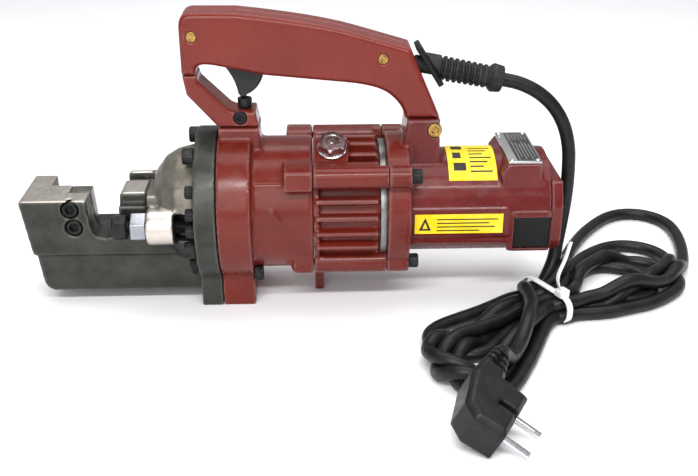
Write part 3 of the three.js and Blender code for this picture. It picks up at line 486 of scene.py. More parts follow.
def cast_steel(name, base, deep, light, gloss=0.42):
    """Oiled sand-cast steel."""
    f = Finish(name, base, gloss, Metallic=0.75, Specular_IOR_Level=0.5)
    mottle = f.blend(f.window(f.grain(22, 6, 0.6), 0.36, 0.66), base, deep)
    speck = f.blend(f.window(f.grain(1.1, 5, 0.75), 0.6, 0.78, 0, 0.5), mottle, light)
    f.colour(f.blend(f.window(f.edges(0.51, 0.57), 0, 1, 0, 0.7), speck, light))
    f.rough(f.window(f.grain(6, 6, 0.65), 0.3, 0.7, gloss - 0.1, gloss + 0.14))
    f.bump(f.grain(5, 4, 0.6), 0.25, 0.45).bump(f.grain(0.8, 4, 0.7), 0.07, 0.55)
    return f.material


def ground_steel(name, base, light, gloss, lay=(1, 1, 1), deep=0.02, Metallic=1.0):
    """Machined steel with fine tool marks that run along one axis."""
    f = Finish(name, base, gloss, Metallic=Metallic)
    marks = f.grain(0.5, 3, 0.6, f.stretch(*lay))
    stain = f.window(f.grain(9, 5, 0.6), 0.35, 0.7)
    f.colour(f.blend(f.window(marks, 0.3, 0.7), f.blend(stain, base, light), light))
    f.rough(f.window(f.grain(3, 4), 0.3, 0.7, gloss - 0.06, gloss + 0.1))
    f.bump(marks, deep, 0.6)
    return f.material


def black_finish(name, base, light, gloss, grain=0.6, deep=0.03, metallic=0.0):
    """Black oxide, plastic or rubber: fine tooth, dusty light patches, slightly shiny wear."""
    f = Finish(name, base, gloss, Metallic=metallic, Specular_IOR_Level=0.25)
    cloud = f.blend(f.window(f.grain(12, 5, 0.6), 0.4, 0.75), base, light)
    f.colour(f.blend(f.window(f.grain(0.9, 3, 0.7), 0.6, 0.8, 0, 0.5), cloud, light))
    f.rough(f.window(f.grain(5, 4), 0.3, 0.7, gloss - 0.08, gloss + 0.1))
    f.bump(f.grain(grain, 3, 0.6), deep, 0.6)
    return f.material


def banded(name, base, gap, size, axis, gloss, metallic):
    """Stacked sheets or wound wire, seen as bands along an axis."""
    f = Finish(name, base, gloss, Metallic=metallic)
    lines = f.bands(size, axis)
    f.colour(f.blend(f.window(lines, 0.1, 0.5), gap, f.blend(f.grain(3, 4), base, gap)))
    f.rough(f.window(f.grain(4, 4), 0.3, 0.7, gloss - 0.05, gloss + 0.1)).bump(lines, 0.12, 0.7)
    return f.material


def mix_finishes(sizes):
    """Every finish of the machine, named for where it is seen; the lit and shaded copies among them hold
    painted light and shade.
    """
    red, maroon = tuple(sizes.enamel_colour), tuple(sizes.motor_colour)
    def darker(colour, share):
        return tuple(value * share for value in colour)

    def tint(colour, share):
        return tuple(value + (1 - value) * share for value in colour)

    FINISHES.update(
        # the case, fins and motor front take the handle's red darkened by 0.86: painted shade, a shaded
        # copy of the same paint
        housing_enamel=enamel("housing_enamel", darker(red, 0.86), darker(red, 0.64), tint(red, 0.14)),
        motor_enamel=enamel("motor_enamel", maroon, darker(maroon, 0.7), tint(maroon, 0.12)),
        handle_enamel=enamel("handle_enamel", red, darker(red, 0.8), tint(red, 0.12)),
        head_steel=cast_steel("head_steel", shade(66, 67, 62), shade(46, 48, 44), shade(120, 118, 112)),
        # pale ground steel: real machined finish on the stopper boss, and painted light on the upward jaw
        # tops
        head_machined=ground_steel("head_machined", shade(186, 176, 166), shade(208, 202, 194), 0.36,
                                   (1, 14, 1)),
        # lighter steel for the dome's upper part: painted light from overhead
        dome_steel=cast_steel("dome_steel", shade(140, 134, 122), shade(104, 100, 92),
                              shade(186, 180, 168), 0.34),
        die_steel=ground_steel("die_steel", shade(104, 100, 96), shade(140, 136, 130), 0.34, (1, 1, 16)),
        bright_steel=ground_steel("bright_steel", shade(188, 188, 186), shade(220, 220, 218), 0.24,
                                  (12, 1, 1)),
        plated_steel=ground_steel("plated_steel", shade(186, 186, 188), shade(216, 216, 218), 0.2,
                                  (12, 1, 1), 0.008),
        black_oxide=black_finish("black_oxide", shade(22, 22, 24), shade(46, 46, 46), 0.36, 0.5,
                                 0.02, 0.4),
        black_plastic=black_finish("black_plastic", shade(9, 9, 10), shade(20, 20, 21), 0.5),
        trigger_plastic=black_finish("trigger_plastic", shade(30, 30, 31), shade(46, 46, 47), 0.46),
        black_rubber=black_finish("black_rubber", shade(22, 22, 24), shade(42, 42, 44), 0.52, 1.0, 0.05),
        plug_rubber=black_finish("plug_rubber", shade(16, 16, 17), shade(32, 32, 34), 0.42, 0.7, 0.03),
        cord_rubber=black_finish("cord_rubber", shade(15, 15, 16), shade(30, 30, 31), 0.4, 1.4, 0.06),
        brass=ground_steel("brass", shade(128, 98, 52), shade(176, 142, 84), 0.3, (1, 1, 1)),
        aluminium=ground_steel("aluminium", shade(112, 112, 110), shade(142, 142, 138), 0.32, (1, 9, 1)),
        copper=banded("copper", shade(196, 120, 84), shade(70, 46, 36), 2.4, "Y", 0.3, 1.0),
        carbon=black_finish("carbon", shade(44, 44, 46), shade(70, 70, 72), 0.6, 0.4, 0.03),
        nylon=black_finish("nylon", shade(226, 226, 222), shade(240, 240, 238), 0.38, 0.8, 0.02),
        laminations=banded("laminations", shade(150, 150, 154), shade(66, 66, 70), 0.8, "X", 0.4, 0.9),
        plate_metal=ground_steel("plate_metal", shade(176, 176, 176), shade(200, 200, 200), 0.34,
                                 (1, 9, 1)),
        plate_dark=black_finish("plate_dark", shade(52, 52, 54), shade(76, 76, 78), 0.4, 0.5, 0.01),
        label_yellow=black_finish("label_yellow", shade(236, 200, 30), shade(246, 218, 70), 0.32,
                                  0.9, 0.008),
        label_ink=black_finish("label_ink", shade(34, 32, 30), shade(56, 52, 44), 0.4, 0.9, 0.008),
        spring_steel=ground_steel("spring_steel", shade(120, 122, 128), shade(160, 162, 168), 0.3,
                                  (1, 6, 6)),
        bladder_rubber=black_finish("bladder_rubber", shade(46, 44, 44), shade(70, 68, 66), 0.6),
        floor=studio_floor(),
    )


def studio_floor():
    f = Finish("floor_paper", shade(247, 247, 248), 0.75)
    f.colour(f.blend(f.window(f.grain(160, 3), 0.3, 0.7), shade(247, 247, 248), shade(243, 243, 245)))
    return f.material


# ---------------------------------------------------------------- sizes a user may change

class RebarCutterSizes(bpy.types.PropertyGroup):
    """Colours and making sizes of the rebar cutter's visible pieces."""

    enamel_colour: FloatVectorProperty(
        name="Enamel", description="Paint of the pump case, fins and handle",
        subtype="COLOR", size=3, min=0, max=1, default=(0.165, 0.0175, 0.0105))
    motor_colour: FloatVectorProperty(
        name="Motor enamel", description="Paint of the motor housing's rear",
        subtype="COLOR", size=3, min=0, max=1, default=(0.12, 0.0115, 0.0105))
    cord_slack: IntProperty(
        name="Cord settling", description="Steps in which the bundled lead comes to rest",
        default=140, min=0, max=600)
    strip_power: FloatProperty(
        name="Strip light", description="Power of the overhead strip light",
        unit="POWER", default=17.0, min=0)
    softbox_power: FloatProperty(
        name="Soft box", description="Power of the wide overhead light",
        unit="POWER", default=24.0, min=0)
    fill_power: FloatProperty(
        name="Front fill", description="Power of the light beside the camera",
        unit="POWER", default=12.0, min=0)
    sky_strength: FloatProperty(
        name="Room light", description="Strength of the light from all round",
        default=0.42, min=0)


def sizes():
    return bpy.context.scene.rebar_cutter_sizes


# ---------------------------------------------------------------- stage and lead

class REBAR_OT_stage(bpy.types.Operator):
    """Mix the finishes and set out the camera, pale floor and soft studio lights"""

    bl_idname = "rebar_cutter.stage"
    bl_label = "Stage, Camera and Finishes"

    def execute(self, context):
        mix_finishes(sizes())
        data = bpy.data.cameras.new("camera")
        data.sensor_width, data.lens, data.clip_start = 36.0, 51.73, 0.01
        camera = bpy.data.objects.new("camera", data)
        camera.location = (0.0186, -0.6974, 0.3654)
        camera.rotation_euler = Vector((0.0316, 0.9058, -0.4226)).to_track_quat("-Z", "Y").to_euler()
        context.scene.collection.objects.link(camera)
        context.scene.camera = camera

        floor = bpy.data.meshes.new("floor")
        half = 6.0
        floor.from_pydata([(-half, -half, 0), (half, -half, 0), (half, half, 0), (-half, half, 0)],
                          [], [(0, 1, 2, 3)])
        floor.materials.append(FINISHES["floor"])
        stand("floor", floor)

        self.light("strip_light", (0.05, -0.95, 1.08), (0, 0, 0.08), (1.4, 0.1), sizes().strip_power)
        self.light("soft_box", (0.15, 0.35, 1.6), (0, 0, 0), (1.8, 1.4), sizes().softbox_power)
        self.light("front_fill", (-0.5, -1.6, 0.75), (0, 0, 0.08), (1.4, 0.9), sizes().fill_power)
        world = bpy.data.worlds.new("room")
        world.use_nodes = True
        room = world.node_tree.nodes["Background"]
        room.inputs["Color"].default_value = (0.97, 0.98, 1.0, 1)
        room.inputs["Strength"].default_value = sizes().sky_strength
        context.scene.world = world
        context.scene.view_settings.view_transform = "Standard"
        return {"FINISHED"}

    @staticmethod
    def light(name, at, aim, size, power):
        data = bpy.data.lights.new(name, "AREA")
        data.shape, data.size, data.size_y, data.energy = "RECTANGLE", size[0], size[1], power
        lamp = bpy.data.objects.new(name, data)
        lamp.location = at
        lamp.rotation_euler = (Vector(aim) - Vector(at)).to_track_quat("-Z", "Y").to_euler()
        bpy.context.scene.collection.objects.link(lamp)


CORD_EXIT = (153.2, 0, 164.1)
CORD_DROP = [CORD_EXIT, (166, 0, 161), (179.5, -0.5, 154.5), (191.5, -1, 144), (200.5, -1.5, 129.5),
             (205.5, -2, 112), (207, -2, 93), (207, -2, 74), (205.5, -2.5, 55), (203, -5, 38),
             (199.5, -11, 24), (193, -19.5, 13.5)]
MOTOR_FLAT = 39.3                           # half width of the motor over its label facets
TIE = Vector((187, -50, 0))
TIE_ALONG, TIE_OVER = Vector((0.883, 0.469, 0)), Vector((-0.469, 0.883, 0))
ROW = (5.5, 14.5)                           # heights of the two rows of strands in the tie
# Each turn to the left: slot and row out of the tie, the fold's centre and height, slot and row back
LEFT_FOLDS = [((20, 0), (117, -95), 5, (0, 0)), ((10, 0), (127, -141), 16, (-20, 0)),
              ((-5, 1), (120, -133), 28, (-10, 0)), ((5, 1), (114, -122), 40, (-15, 1))]
# Each turn to the right: way points, the fold's centre, height and arc, way points home
RIGHT_FOLDS = [
    ([(222, -38)], (247, -16), 5, (-75, 135), [(214, -12)]),
    ([(222, -62), (250, -51)], (270, -8), 16, (-52, 140), [(236, 6), (216, -14)]),
    ([(220, -52), (250, -42)], (272, 22), 28, (-60, 145), [(232, 28), (212, -8)]),
    ([(222, -52), (252, -42), (284, -24), (308, 8), (322, 50)], (296, 88), 40, (-8, 145),
     [(252, 84), (234, 56), (220, 28), (206, -4)]),
]
LEAD_TAIL = [(172, -70, 30), (163, -96, 36), (152, -122, 36), (140, -145.5, 32.5), (129, -164, 29.4)]
LEFT_RADIUS, RIGHT_RADIUS = 22.0, 30.0


def in_tie(slot, along):
    return TIE + TIE_ALONG * along + TIE_OVER * slot[0] + Vector((0, 0, ROW[slot[1]]))


def bend(centre, radius, first, last, high):
    """Points of a fold, counted anticlockwise in degrees."""
    steps = max(4, int(abs(last - first) / 20))
    angles = [math.radians(first + (last - first) * k / steps) for k in range(steps + 1)]
    return [Vector((centre[0] + radius * math.cos(a), centre[1] + radius * math.sin(a), high))
            for a in angles]


def smooth_line(points, spacing):
    """A curve through points (Catmull-Rom), measured out at an even spacing."""
    p = np.array([tuple(q) for q in points], float)
    p = np.vstack([2 * p[0] - p[1], p, 2 * p[-1] - p[-2]])
    fine = []
    for a, b, c, d in zip(p, p[1:], p[2:], p[3:]):
        for t in np.linspace(0, 1, 12, endpoint=False):
            fine.append(0.5 * (2 * b + (c - a) * t + (2 * a - 5 * b + 4 * c - d) * t * t
                               + (3 * b - a - 3 * c + d) * t ** 3))
    fine = np.array(fine + [p[-2]])
    run = np.concatenate([[0], np.cumsum(np.linalg.norm(np.diff(fine, axis=0), axis=1))])
    count = int(round(run[-1] / spacing))
    at = np.linspace(0, run[-1], count + 1)
    return np.column_stack([np.interp(at, run, fine[:, k]) for k in range(3)])


def lead_route(steps):
    """The lead's centreline: down from the handle, nine strands in a tied bundle, to the plug."""
    points = [Vector(p) for p in CORD_DROP] + [in_tie((21, 0), 9.6)]
    for k, (left, centre, high, near) in enumerate(LEFT_FOLDS):
        points += [in_tie(left, 0), in_tie(left, -14)]
        points += bend(centre, LEFT_RADIUS, 137, 317, high)
        points += [in_tie(near, -14), in_tie(near, 0), in_tie(near, 14)]
        out, middle, rise, arc, home = RIGHT_FOLDS[k]
        points += [Vector((*p, rise)) for p in out]
        points += bend(middle, RIGHT_RADIUS, *arc, rise)
        points += [Vector((*p, rise)) for p in home]
        slot = LEFT_FOLDS[k + 1][0] if k < 3 else (15, 1)
        points += [in_tie(slot, 14)]
    points += [in_tie(slot, 0), in_tie(slot, -10)] + [Vector(p) for p in LEAD_TAIL]
    return lay_down(smooth_line(points, 5.0), steps)


def lay_down(line, steps):
    """Lets the strands sag and rest: a diameter apart and on the floor."""
    home, p = line.copy(), line.copy()
    drop = int(np.argmax(p[:, 2] < 12))
    from_tie = (p - np.array(TIE))[:, :2]
    in_band = (np.abs(from_tie @ np.array(TIE_ALONG)[:2]) < 7) & (
        np.abs(from_tie @ np.array(TIE_OVER)[:2]) < 26)
    held = in_band.copy()
    held[:drop] = True
    held[-3:] = True
    free = (~held)[:, None].astype(float)
    index = np.arange(len(p))
    apart = (index[None] - index[:, None]) > 6
    for _ in range(steps):
        p[:, 2:] -= 0.3 * free
        p[:, :2] += (home - p)[:, :2] * 0.02 * free
        between = p[:, None] - p[None]
        reach = np.sqrt((between ** 2).sum(2))
        a, b = np.nonzero(apart & (reach < CORD_D * 1.02))
        if len(a):
            push = between[a, b] * ((CORD_D * 1.02 / np.maximum(reach[a, b], 1e-6) - 1) / 2)[:, None]
            stacked = np.abs(between[a, b, 2]) > 0.3 * CORD_D
            push[stacked, :2] *= 0.1
            push[~stacked, 2] *= 0.1
            shift = np.zeros_like(p)
            np.add.at(shift, a, push)
            np.add.at(shift, b, -push)
            share = np.maximum(np.bincount(np.concatenate([a, b]), minlength=len(p)) / 2, 1)
            p += shift / share[:, None] * free
        for _ in range(5):                  # rubber evens out its own bends
            kink = p[:-4] - 4 * p[1:-3] + 6 * p[2:-2] - 4 * p[3:-1] + p[4:]
            p[2:-2] -= kink * 0.09 * free[2:-2]
        p[:, 2] = np.maximum(p[:, 2], CORD_D / 2 + 0.1)
        p[held] = home[held]
    return p


class REBAR_OT_mains_lead(bpy.types.Operator):
    """Make the mains lead in its tied bundle, with its tie, plug and pins"""

    bl_idname = "rebar_cutter.mains_lead"
    bl_label = "Mains Lead, Tie and Plug"

    def execute(self, context):
        line = smooth_line(lead_route(sizes().cord_slack), 2.5)
        curve = bpy.data.curves.new("mains_lead", "CURVE")
        curve.dimensions, curve.bevel_depth, curve.bevel_resolution = "3D", CORD_D / 2 * MM, 5
        curve.use_fill_caps = True
        spline = curve.splines.new("POLY")
        spline.points.add(len(line) - 1)
        spline.points.foreach_set("co", np.column_stack([line * MM, np.ones(len(line))]).ravel())
        spline.use_smooth = True
        curve.materials.append(FINISHES["cord_rubber"])
        lead = bpy.data.objects.new("mains_lead", curve)
        context.scene.collection.objects.link(lead)
        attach(lead, "frame_body")
        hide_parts("cord_tube", "cord_hank")

        tie = self.tie()
        plug, pins = self.plug()
        return {"FINISHED"}

    @staticmethod
    def tie():
        """A nylon strap round the bundle, with its ratchet head and upstanding tail."""
        low, high, half, thick = 1.0, 22.0, 26.6, 1.3
        loop = outline([(-half, low, 9), (half, low, 9), (half, high, 9), (-half, high, 9)])
        form = Form()
        ring, count = [], len(loop)
        for i, here in enumerate(loop):
            on = (loop[(i + 1) % count] - loop[i - 1]).normalized()
            out = Vector((on.y, -on.x))
            for along, level in ((-2.4, 0), (2.4, 0), (2.4, thick), (-2.4, thick)):
                spot = here + out * (level - thick)
                ring.append(TIE + TIE_ALONG * along + TIE_OVER * spot.x + Vector((0, 0, spot.y)))
        faces = [[i * 4 + k, i * 4 + (k + 1) % 4, (i + 1) % count * 4 + (k + 1) % 4,
                  (i + 1) % count * 4 + k] for i in range(count) for k in range(4)]
        form.add(ring, faces)
        head = Matrix.Translation(TIE - TIE_OVER * 16 + Vector((0, 0, high))) @ Matrix(
            (TIE_ALONG, TIE_OVER, (0, 0, 1))).transposed().to_4x4()
        form.plus(Form().slab([(-4, -4, 1), (4, -4, 1), (4, 4, 1), (-4, 4, 1)], "z", -0.6, 4.4)
                  .moved(head))
        tail = smooth_line([TIE - TIE_OVER * 16 + Vector((0, 0, high + 1)),
                            TIE + Vector((3, -15, high + 14)), TIE + Vector((9, -8, high + 26)),
                            Vector((201, -50, 57.5))], 2.0)
        form.tube(tail, 2.3, 12, 0.3)
        return fit(turned("lead_tie", form, 0.25), FINISHES["nylon"], "cable_tie")

    @staticmethod
    def plug():
        body = casting("plug_grip", "plug_body", grain=0.8, rounds=4)
        fit(body, FINISHES["plug_rubber"], "plug_body")
        pins = turned("plug_contacts", "plug_pins", 0.6, 3)
        fit(pins, FINISHES["plated_steel"], "plug_pins")
        return body, pins


class REBAR_OT_strain_relief(bpy.types.Operator):
    """Make the ribbed rubber sleeve where the lead leaves the handle, and its plate"""

    bl_idname = "rebar_cutter.strain_relief"
    bl_label = "Strain Relief"

    def execute(self, context):
        sleeve = casting("cord_sleeve", "cord_boot", grain=0.6, rounds=2)
        fit(sleeve, FINISHES["black_rubber"], "cord_boot")
        plate = turned("sleeve_plate", "gland_plate", 0.7, 3)
        fit(plate, FINISHES["black_plastic"], "gland_plate")
        return {"FINISHED"}


# ---------------------------------------------------------------- cutting end

class REBAR_OT_shear_head(bpy.types.Operator):
    """Cast the open-jawed cutting head with its domed cylinder and flange"""

    bl_idname = "rebar_cutter.shear_head"
    bl_label = "Cutting Head"

    def execute(self, context):
        round_flange = Form().rod((-67.9, 0, AXIS), (-52.4, 0, AXIS), FLANGE_R, ROUND)
        bore = Form().rod((-94.3, 0, AXIS), (-50, 0, AXIS), CYLINDER_BORE, 96)
        head = casting("shear_head", "cutter_head", round_flange, bore, grain=1.15, rounds=4)
        fit(head, [FINISHES["head_steel"], FINISHES["head_machined"],
                                 FINISHES["dome_steel"]], "cutter_head")
        # the dome's upper part and far side get the lighter steel: painted light on its lit top, the near
        # lower side stays dark
        paint_faces(head, 2, lambda c, n: -104 < c.x < FLANGE_FRONT - 0.6
                    and (c.y ** 2 + (c.z - AXIS) ** 2) > 14 ** 2 and (c.z > 80 or c.y > 24))
        # upward-facing jaw tops get the pale steel: painted light standing in for the overhead lamp shining
        # on them
        paint_faces(head, 1, lambda c, n: c.z > 82.6 and c.x < -106 and n.z > 0.55)
        paint_faces(head, 1, lambda c, n: -103.6 < c.x < -84 and -51.6 < c.y < -28
                    and abs(c.z - STOPPER_Z) < 13.8)
        return {"FINISHED"}


class REBAR_OT_dies_and_ram(bpy.types.Operator):
    """Make the two cutting dies, the ram that drives one of them, and their screws"""

    bl_idname = "rebar_cutter.dies_and_ram"
    bl_label = "Dies and Ram"

    def execute(self, context):
        for name, node in (("still_die", "fixed_die"), ("driven_die", "moving_die")):
            fit(turned(name, node, 0.5), FINISHES["die_steel"], node)
        fit(turned("ram_bar", "ram", 0.6, 3), FINISHES["bright_steel"], "ram")
        for name, node in (("die_screw_high", "die_screw_upper"), ("die_screw_low", "die_screw_lower")):
            low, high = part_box(node)
            seat = Vector(((low.x + high.x) / 2, high.y, (low.z + high.z) / 2)) / MM
            screw = Form().cap_screw((seat.x, -20.3, seat.z), (0, -1, 0), 5.7, 6.1, 2.9,
                                     seat.y + 20.3)
            fit(turned(name, screw, 0), FINISHES["black_oxide"], node)
        fit(turned("driven_die_screw", "moving_die_screw", 0.3),
            FINISHES["black_oxide"], "moving_die_screw")
        return {"FINISHED"}


class REBAR_OT_bar_stopper(bpy.types.Operator):
    """Make the threaded stopper bolt and its lock nut"""

    bl_idname = "rebar_cutter.bar_stopper"
    bl_label = "Bar Stopper"

    def execute(self, context):
        at = (0, STOPPER_Y, STOPPER_Z)
        bolt = Form().lathe([(-128.2, 4.2), (-127.6, 7.4), (-126.5, 8.4), (-126.4, ("hex", 8.5, 9.5)),
                             (-117.8, ("hex", 8.5, 9.5)), (-117, 7.9), (-116.9, 5.0)]
                            + [(-116.6 + k * 0.25, ("thread", 4.35, 0.62, 1.5)) for k in range(178)]
                            + [(-72, 4.4), (-71, 3.6)], at, (1, 0, 0), 48, math.radians(30))
        fit(turned("stopper_screw", bolt, 0), FINISHES["black_oxide"], "stopper_bolt")
        nut = Form().lathe([(-114, 5.45), (-114, ("hex", 9.3, 9.2)), (-113.3, ("hex", 9.5, 10.5)),
                            (-104.4, ("hex", 9.5, 10.5)), (-103.6, ("hex", 9.3, 9.2)), (-103.5, 5.45)],
                           at, (1, 0, 0), 96, math.radians(30))
        nut = turned("lock_nut", "stopper_lock_nut", 0.5, 3)
        fit(nut, FINISHES["spring_steel"], "stopper_lock_nut")
        return {"FINISHED"}


FLANGE_RING = (150, 168, 182, 217, 234, 252, 20, -40, -60)   # small screws between the large ones


class REBAR_OT_flange_screws(bpy.types.Operator):
    """Make the cap screws that bolt the head, pump case and motor together"""

    bl_idname = "rebar_cutter.flange_screws"
    bl_label = "Flange Screws"

    def execute(self, context):
        for k in range(1, 5):
            node = f"head_screw_{k}"
            low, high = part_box(node)
            middle = (low + high) / 2 / MM
            form = Form().cap_screw((-68.3, middle.y, middle.z), (-1, 0, 0), 6.0, 8.0, 3.2,
                                    high.x / MM + 68.3, k)
            fit(turned(f"flange_screw_{k}", form, 0), FINISHES["black_oxide"], node)
        ring = Form()
        for degrees in FLANGE_RING:
            angle = math.radians(degrees)
            ring.cap_screw((FLANGE_FRONT - 0.1, 51 * math.cos(angle), AXIS + 51 * math.sin(angle)),
                           (-1, 0, 0), 4.6, 5.6, 2.4, 6, angle)
        fit(turned("flange_ring_screws", ring, 0), FINISHES["black_oxide"],
            body="frame_body")
        rear = Form()
        for side in (-1, 1):
            rear.cap_screw((-27.9, side * 30, 27.3), (1, 0, 0), 6.2, 6.4, 3.1, 6)
        fit(turned("case_foot_screws", rear, 0), FINISHES["black_oxide"],
            body="frame_body")
        for node in ("long_bolt_upper_near", "long_bolt_lower_near", "long_bolt_upper_far",
                     "long_bolt_lower_far"):
            low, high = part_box(node)
            middle = (low + high) / 2 / MM
            form = Form().cap_screw((85.7, middle.y, middle.z), (1, 0, 0), 5.25, 7.0, 2.8,
                                    85.7 - low.x / MM, middle.y)
            fit(turned(node.replace("long_bolt", "case_bolt"), form, 0),
                FINISHES["black_oxide"], node)
        return {"FINISHED"}


# ---------------------------------------------------------------- pump and motor

class REBAR_OT_pump_case(bpy.types.Operator):
    """Cast the pump case with its flange foot, ledges and ribs"""

    bl_idname = "rebar_cutter.pump_case"
    bl_label = "Pump Case"

    def execute(self, context):
        extra = Form()
        for side in (-1, 1):
            # bolt rails that run on to the motor, the ledge before them and a low wing
            extra.slab([(side * 30, 101), (side * 54.2, 101), (side * 54.2, 114.5, 2),
                        (side * 41, 116.5, 2), (side * 30, 116.5)], "x", -4, 16)
            extra.tube([(-27, side * 40.4, 100), (-3, side * 40.4, 100)], 1.3, 12)
            extra.slab([(side * 22, 30.8), (side * 41.5, 30.8, 1.5), (side * 41.5, 44, 2),
                        (side * 30, 46)], "x", 2, 16)
        extra.slab([(-3, 38), (1, 30.8), (6, 30.8), (6, 44), (-3, 44)], "y", -38, 38)
        # the sloping web on the near side and the thin rib that runs back from it
        extra.tube([(-14, -46.9, 84), (-7, -48.2, 74)], 1.9, 12)
        extra.tube([(-8, -48.4, 73.5), (15, -48.6, 73)], 0.9, 8)
        open_end = Form()
        for side in (-1, 1):
            open_end.rod((-6, side * 46.5, 108.3), (3.5, side * 46.5, 108.3), 3.4, 20)
        # fully round flange and barrel, bored out again below
        extra.rod((-51.8, 0, AXIS), (-28.2, 0, AXIS), CASE_FLANGE_R, ROUND)
        extra.rod((-29, 0, AXIS), (15.9, 0, AXIS), BARREL_R, ROUND)
        hollow = Form().rod((-53, 0, AXIS), (-29.7, 0, AXIS), CYLINDER_BORE, 96)
        hollow.rod((-30, 0, AXIS), (17, 0, AXIS), OIL_BORE, 96)
        hollow.rod((-32, 0, 118), (-32, 0, 140), 4, 32)
        case = casting("pump_body", "pump_case", extra, hollow, open_end, 1.15, 4)
        fit(case, FINISHES["housing_enamel"], "pump_case")
        return {"FINISHED"}


class REBAR_OT_finned_barrel(bpy.types.Operator):
    """Cast the cooling-finned barrel, its aluminium adapter ring and the oil plug"""

    bl_idname = "rebar_cutter.finned_barrel"
    bl_label = "Finned Barrel"

    def execute(self, context):
        fins = casting("fin_barrel", "finned_housing", grain=1.0, rounds=3)
        fit(fins, FINISHES["housing_enamel"], "finned_housing")
        ring = turned("adapter_ring", "motor_adapter", 0.5)
        fit(ring, FINISHES["aluminium"], "motor_adapter")
        tilt = math.radians(24)
        way = Vector((0, -math.sin(tilt), math.cos(tilt)))
        at = Vector((30, 0, AXIS)) + way * 52.9
        plug = Form().lathe([(-12, 6), (-0.1, 6), (0, 10.2), (0.4, 10.8), (1.2, 10.8), (1.6, 10.2),
                             (1.6, ("hex", 9.3, 10.3)), (2.6, ("hex", 9.45, 10.85)),
                             (6.6, ("hex", 9.45, 10.85)), (8.1, ("hex", 9.3, 9.5)), (8.1, 6.4),
                             (7.6, 6.0), (7.6, 2.2), (8.0, 1.8), (8.0, 0.2)], at, way, 96, math.radians(20))
        fit(turned("oil_filler", plug, 0), FINISHES["plated_steel"], "oil_plug")
        return {"FINISHED"}


